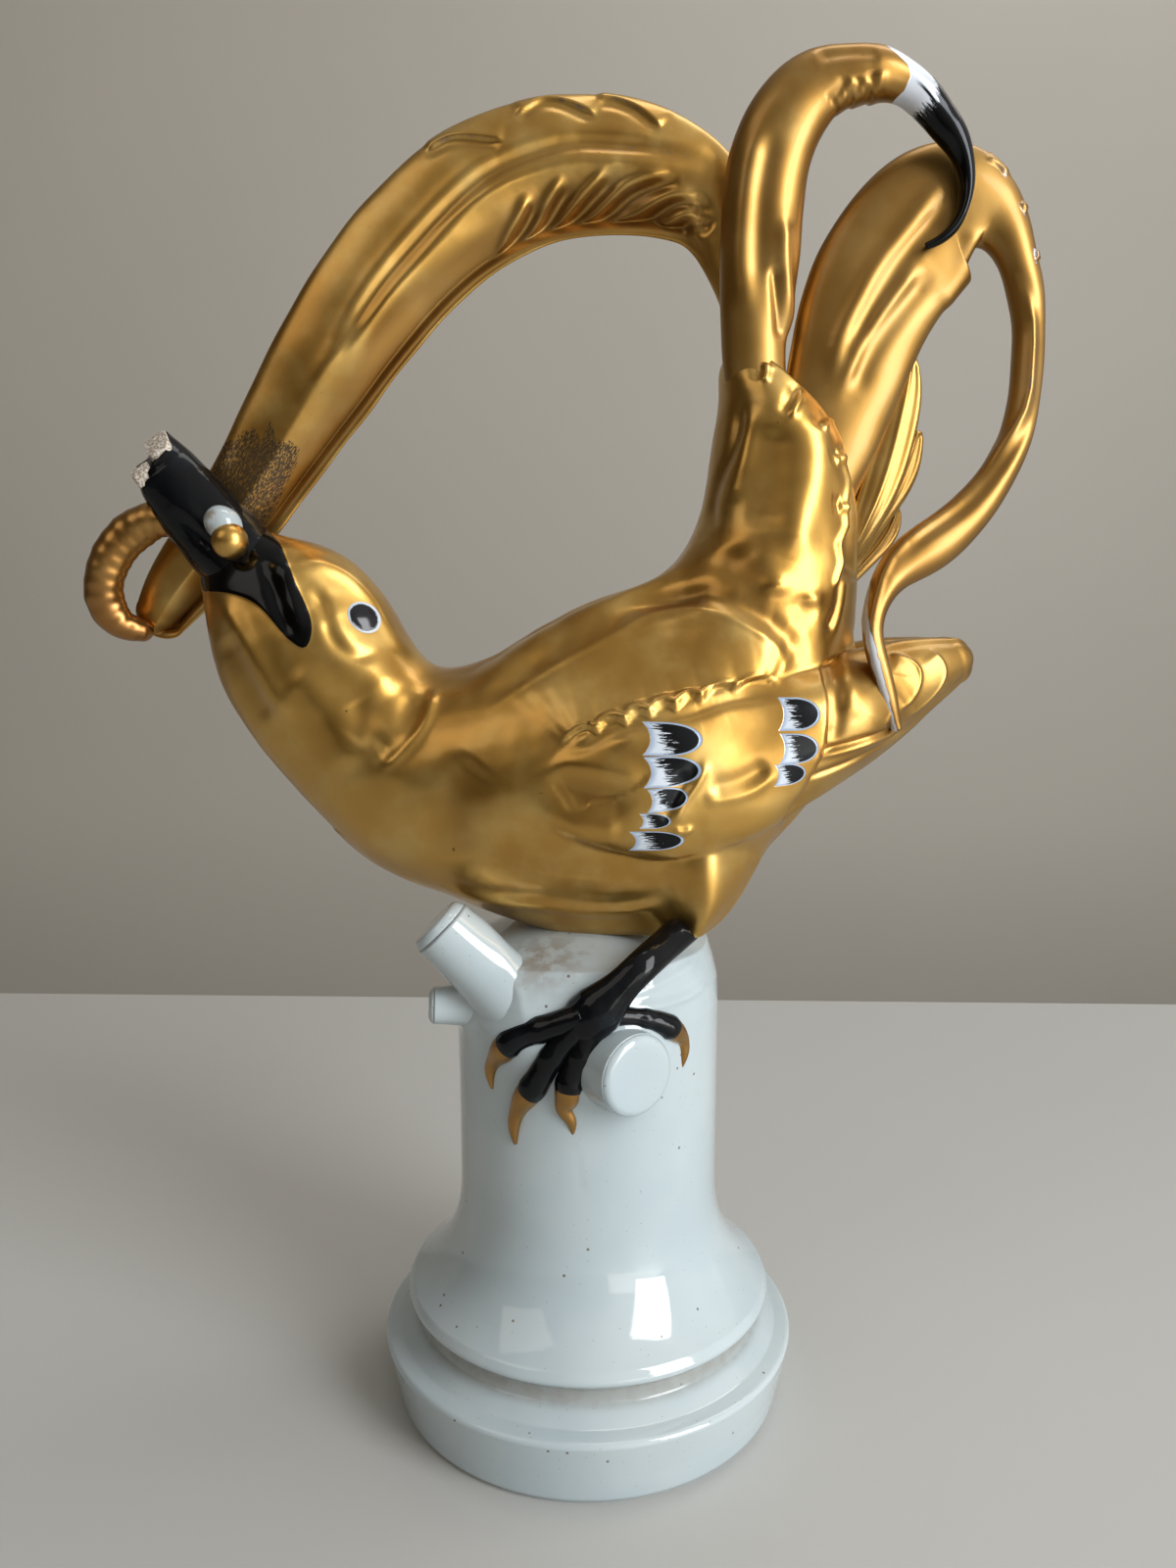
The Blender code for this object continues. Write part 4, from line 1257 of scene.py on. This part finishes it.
def head_details(looks):
    """Beak with its two broken ends, the caught grub, and the eyes."""
    aim, over = unit(np.array((-33.0, 0.0, 48.0))), unit(np.array((48.0, 0.0, 33.0)))
    rings, along, across, through = blade(BEAK, 160, 84)
    x, z, y = side_view(rings)
    relief = ridge(x, z, [(-478, 512), (-430, 470), (-394, 440), (-372, 408)], -3, 7) * (y < 0)
    relief += ridge(x, z, [(-466, 520), (-420, 478), (-384, 446), (-362, 414)], 2.5, 9)
    relief += 1.5 * unevenness(x, y, z, 46, 41)
    slant = 26 * np.clip(through, -0.2, 1) + 13 * np.clip(-across, 0, 1)
    slant = slant * smooth(-along, -0.16, 0) * SHARE
    rings = carve(rings, relief) - slant[..., None] * aim
    loft("beak", rings, looks["black"], {})
    for name, shift, wide, middle, deep, sink in (
        ("break_upper", 11, 15, -5, 16, 11.5), ("break_lower", -20, 12, -19, 6, 16)
    ):
        bend = circle(56)[None, :, None]
        squarish = (np.abs(np.cos(bend)) ** 3 + np.abs(np.sin(bend)) ** 3) ** (-1 / 3)
        shrink = np.concatenate((np.ones(14), np.linspace(0.99, 0.05, 10)))[:, None, None]
        ring = over * np.cos(bend) * wide + np.array((0, -1.0, 0)) * np.sin(bend) * deep
        ring = ring * squarish * shrink
        start = np.array((-507.0, middle, 583.0)) + over * shift - aim * sink
        rise = np.concatenate((np.linspace(0, 1, 14), np.linspace(1, 1.12, 10)))[:, None, None]
        points = start + aim * rise * 14 + ring
        px, py, pz = points[..., 0], points[..., 1], points[..., 2]
        lean = -26 * np.clip(-py / 28, -0.2, 1) + 1.2 * unevenness(px, py, pz, 14, 51)
        points = points + lean[..., None] * aim
        loft(name, points * SHARE + SEAT, looks["bare"], {})
    rings, along, _, _ = blade(GRUB, 420, 64, ends=(0, 1.0))
    segment = 0.5 - 0.5 * np.cos(along * math.pi * 28)
    x, z, y = side_view(rings)
    relief = 0.6 * segment - 0.4 + 1.0 * unevenness(x, z, y, 26, 71)
    # Painted shade in the creases between the grub's rings.
    crease_shade = 0.25 * np.clip(1 - 1.6 * segment, 0, 1)
    fields = {"painted_shade": crease_shade, "copper": 0.6 + 0.4 * smooth(along, 0.45, 0.9)}
    loft("grub", carve(rings, relief), looks["gold"], fields)
    loft("grub_face", ellipsoid((-402, -55, 474), (20.5, 20, 20.5)), looks["gold"], {})
    rings = ellipsoid((-411, -46, 493), (22, 21, 19), -35)
    x, z, y = side_view(rings)
    # Painted shade over the whole cap; brown dirt toward its left end.
    fields = {"painted_shade": 0.3, "dirt_and_shade": smooth(-x, 406, 420)}
    loft("grub_neck", carve(rings, 2 * unevenness(x, y, z, 26, 61)), looks["white"], fields)
    for side, label in ((1, "near"), (-1, "far")):
        rings = ellipsoid((-254, 0, 389), (20.0, 22, 14.6), -48)
        x, z, y = side_view(rings)
        lean = math.radians(-48)
        u = ((x + 254) * math.cos(lean) + (z - 389) * math.sin(lean)) / 20.0
        v = (-(x + 254) * math.sin(lean) + (z - 389) * math.cos(lean)) / 14.6
        out = np.hypot(u, v)
        body = -(53.0 - 0.60 * (x + 254) - 0.49 * (z - 390))
        dome = 4.5 * np.sqrt(np.clip(1 - (out / 0.82) ** 2, 0, 1))
        rim = 2.0 * hump(out - 0.88, 0.10)
        shaped = np.where(y < 0, body - dome - rim, body + 12)
        points = np.stack((x, shaped * side, z), axis=-1) * SHARE + SEAT
        loft("eye_" + label, points, looks["eye"], {"from_middle": out})


def feet(looks):
    """Legs, toes and claws of both sides; each toe has two rings of knuckles carved into it."""
    for side, label in ((1, "near"), (-1, "far")):
        loft("leg_" + label, leg(120, 40, side), looks["black"], {})
        for i, table in enumerate(DIGITS):
            rings = digit(table, 120, 36, side)
            s = np.linspace(0, 1, 120)[:, None] * np.ones((1, 36))
            knuckles = 1.6 * hump(s - 0.30, 0.05) + 1.4 * hump(s - 0.55, 0.05)
            toe, claw = rings[:78], rings[66:]
            loft("toe_%s_%d" % (label, i), carve(toe, knuckles[:78] - 0.6), looks["black"], {})
            # Painted shade over the claws, with a copper share.
            loft("claw_%s_%d" % (label, i), claw, looks["gold"], {"painted_shade": 0.5, "copper": 0.5})


def pedestal(looks):
    """Turned column with the roots of its cut stubs drawn out of it, and the stubs."""
    profile = column_profile()
    steps = np.hypot(*np.diff(profile, axis=0).T)
    at = np.concatenate(([0.0], np.cumsum(steps)))
    new = np.unique(np.concatenate((at, np.arange(0, at[-1], 0.0012))))
    profile = np.stack([np.interp(new, at, column) for column in profile.T], axis=1)
    rings = turned(profile, 280)
    rods = [(on_shaft(*start), on_shaft(*end), radius) for start, end, radius in STUBS]
    face = on_shaft(16.7, 0.0327, 0.011)
    facing = np.array((math.sin(math.radians(36)), -math.cos(math.radians(36)), 0.0))
    rods.append((face - facing * STUB_LENGTH, face, 0.0142))
    swell = np.zeros(rings.shape[:2])
    for root, free, radius in rods:
        gap = bar_gap(rings, root, free, radius)
        swell = np.maximum(swell, ROOT_SWELL * fading(gap, ROOT_SPREAD))
    height = rings[..., 2]
    swell *= smooth(height, 0.05, 0.07) * smooth(-height, -0.192, -0.176)
    level = (RIM_HEIGHT + FLANGE_HEIGHT) / 2
    radius = np.hypot(rings[..., 0], rings[..., 1])
    groove = hump(height - level, 0.006) * smooth(-radius, -0.0705, -0.0665)
    # The spot on the column's top under the bird: painted shade and dust.
    from_hole = (rings - on_shaft(-22, -0.004, -0.010)) / (0.014, 0.014, 0.010)
    hole = np.exp(-(from_hole ** 2).sum(axis=-1))
    outward = unit(rings * (1, 1, 0) + (0, 0, 1e-9))
    turn = np.degrees(np.arctan2(rings[..., 0], -rings[..., 1])) * 0.87
    drop = (SHOULDER_HEIGHT - height) * 1000
    for line, proud in BARK_FOLDS:
        swell += ridge(turn, drop, line, proud, 1.5) / 1000
        swell -= ridge(turn, drop + 2.6, line, proud * 0.7, 1.8) / 1000
    rings = rings + outward * swell[..., None]
    # Painted shade in the flange groove and the spot under the bird; dust there too.
    fields = {"painted_shade": np.clip(groove * 0.95 + hole * 0.5, 0, 1), "dirt_and_shade": hole * 0.7 + groove * 0.25}
    loft("column", rings, looks["white"], fields)
    shares = np.linspace(0, 0.94, 36)
    grown = 1.08 - 0.6 * hump(shares, 0.16) - 0.08 * np.minimum(shares / 0.5, 1)
    for (root, free, radius), name in zip(rods, ("stub", "knob", "stump")):
        rows = list(zip(shares, radius * (np.ones(36) if name == "stump" else grown)))
        for a in np.linspace(0, math.pi / 2, 7):
            share = 1 - STUB_ROUND * (1 - math.sin(a)) / STUB_LENGTH
            rows.append((share, radius - STUB_ROUND * (1 - math.cos(a))))
        rows += [(1.0, radius * shrink) for shrink in (0.7, 0.4, 0.1)]
        rings = rod_rings(root, free, rows, 64)
        beyond = np.hypot(rings[..., 0], rings[..., 1]) - SHAFT_RADIUS
        swell = STUB_SWELL * fading(beyond, STUB_SPREAD)
        for other in rods:
            if other[2] != radius:
                swell = swell + FORK_SWELL * fading(bar_gap(rings, *other), FORK_SPREAD)
        rings = rings + normals(rings) * swell[..., None]
        loft(name, rings, looks["white"])


def main():
    """Builds every piece of the figurine in its finish."""
    groups = {"tone": tone_group(), "worn": worn_group(), "specks": speck_group(), "mark": mark_group()}
    looks = {
        "gold": ("gilding", gilded("old_gold", groups)),
        "painted_gold": ("gilding", gilded("old_gold_with_painted_feathers", groups, painted=True)),
        "plume_tip": ("gilding", plume_tip("gold_white_and_black_plume", groups)),
        "white": ("white_glaze", white_glazed("white_glaze", groups)),
        "black": ("black_glaze", black_glazed("black_glaze")),
        "bare": ("bare_break", bare_body("bare_broken_porcelain")),
        "eye": ("black_glaze", eye_glazed("painted_eye")),
    }
    bird(looks)
    plumes(looks)
    head_details(looks)
    feet(looks)
    pedestal(looks)


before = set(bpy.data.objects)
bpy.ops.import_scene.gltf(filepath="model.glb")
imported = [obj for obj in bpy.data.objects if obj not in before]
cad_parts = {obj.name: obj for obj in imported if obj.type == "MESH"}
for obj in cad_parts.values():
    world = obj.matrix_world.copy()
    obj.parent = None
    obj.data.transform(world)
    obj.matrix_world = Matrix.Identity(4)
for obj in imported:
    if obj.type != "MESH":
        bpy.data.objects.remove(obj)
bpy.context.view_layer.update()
main()
stage_set()
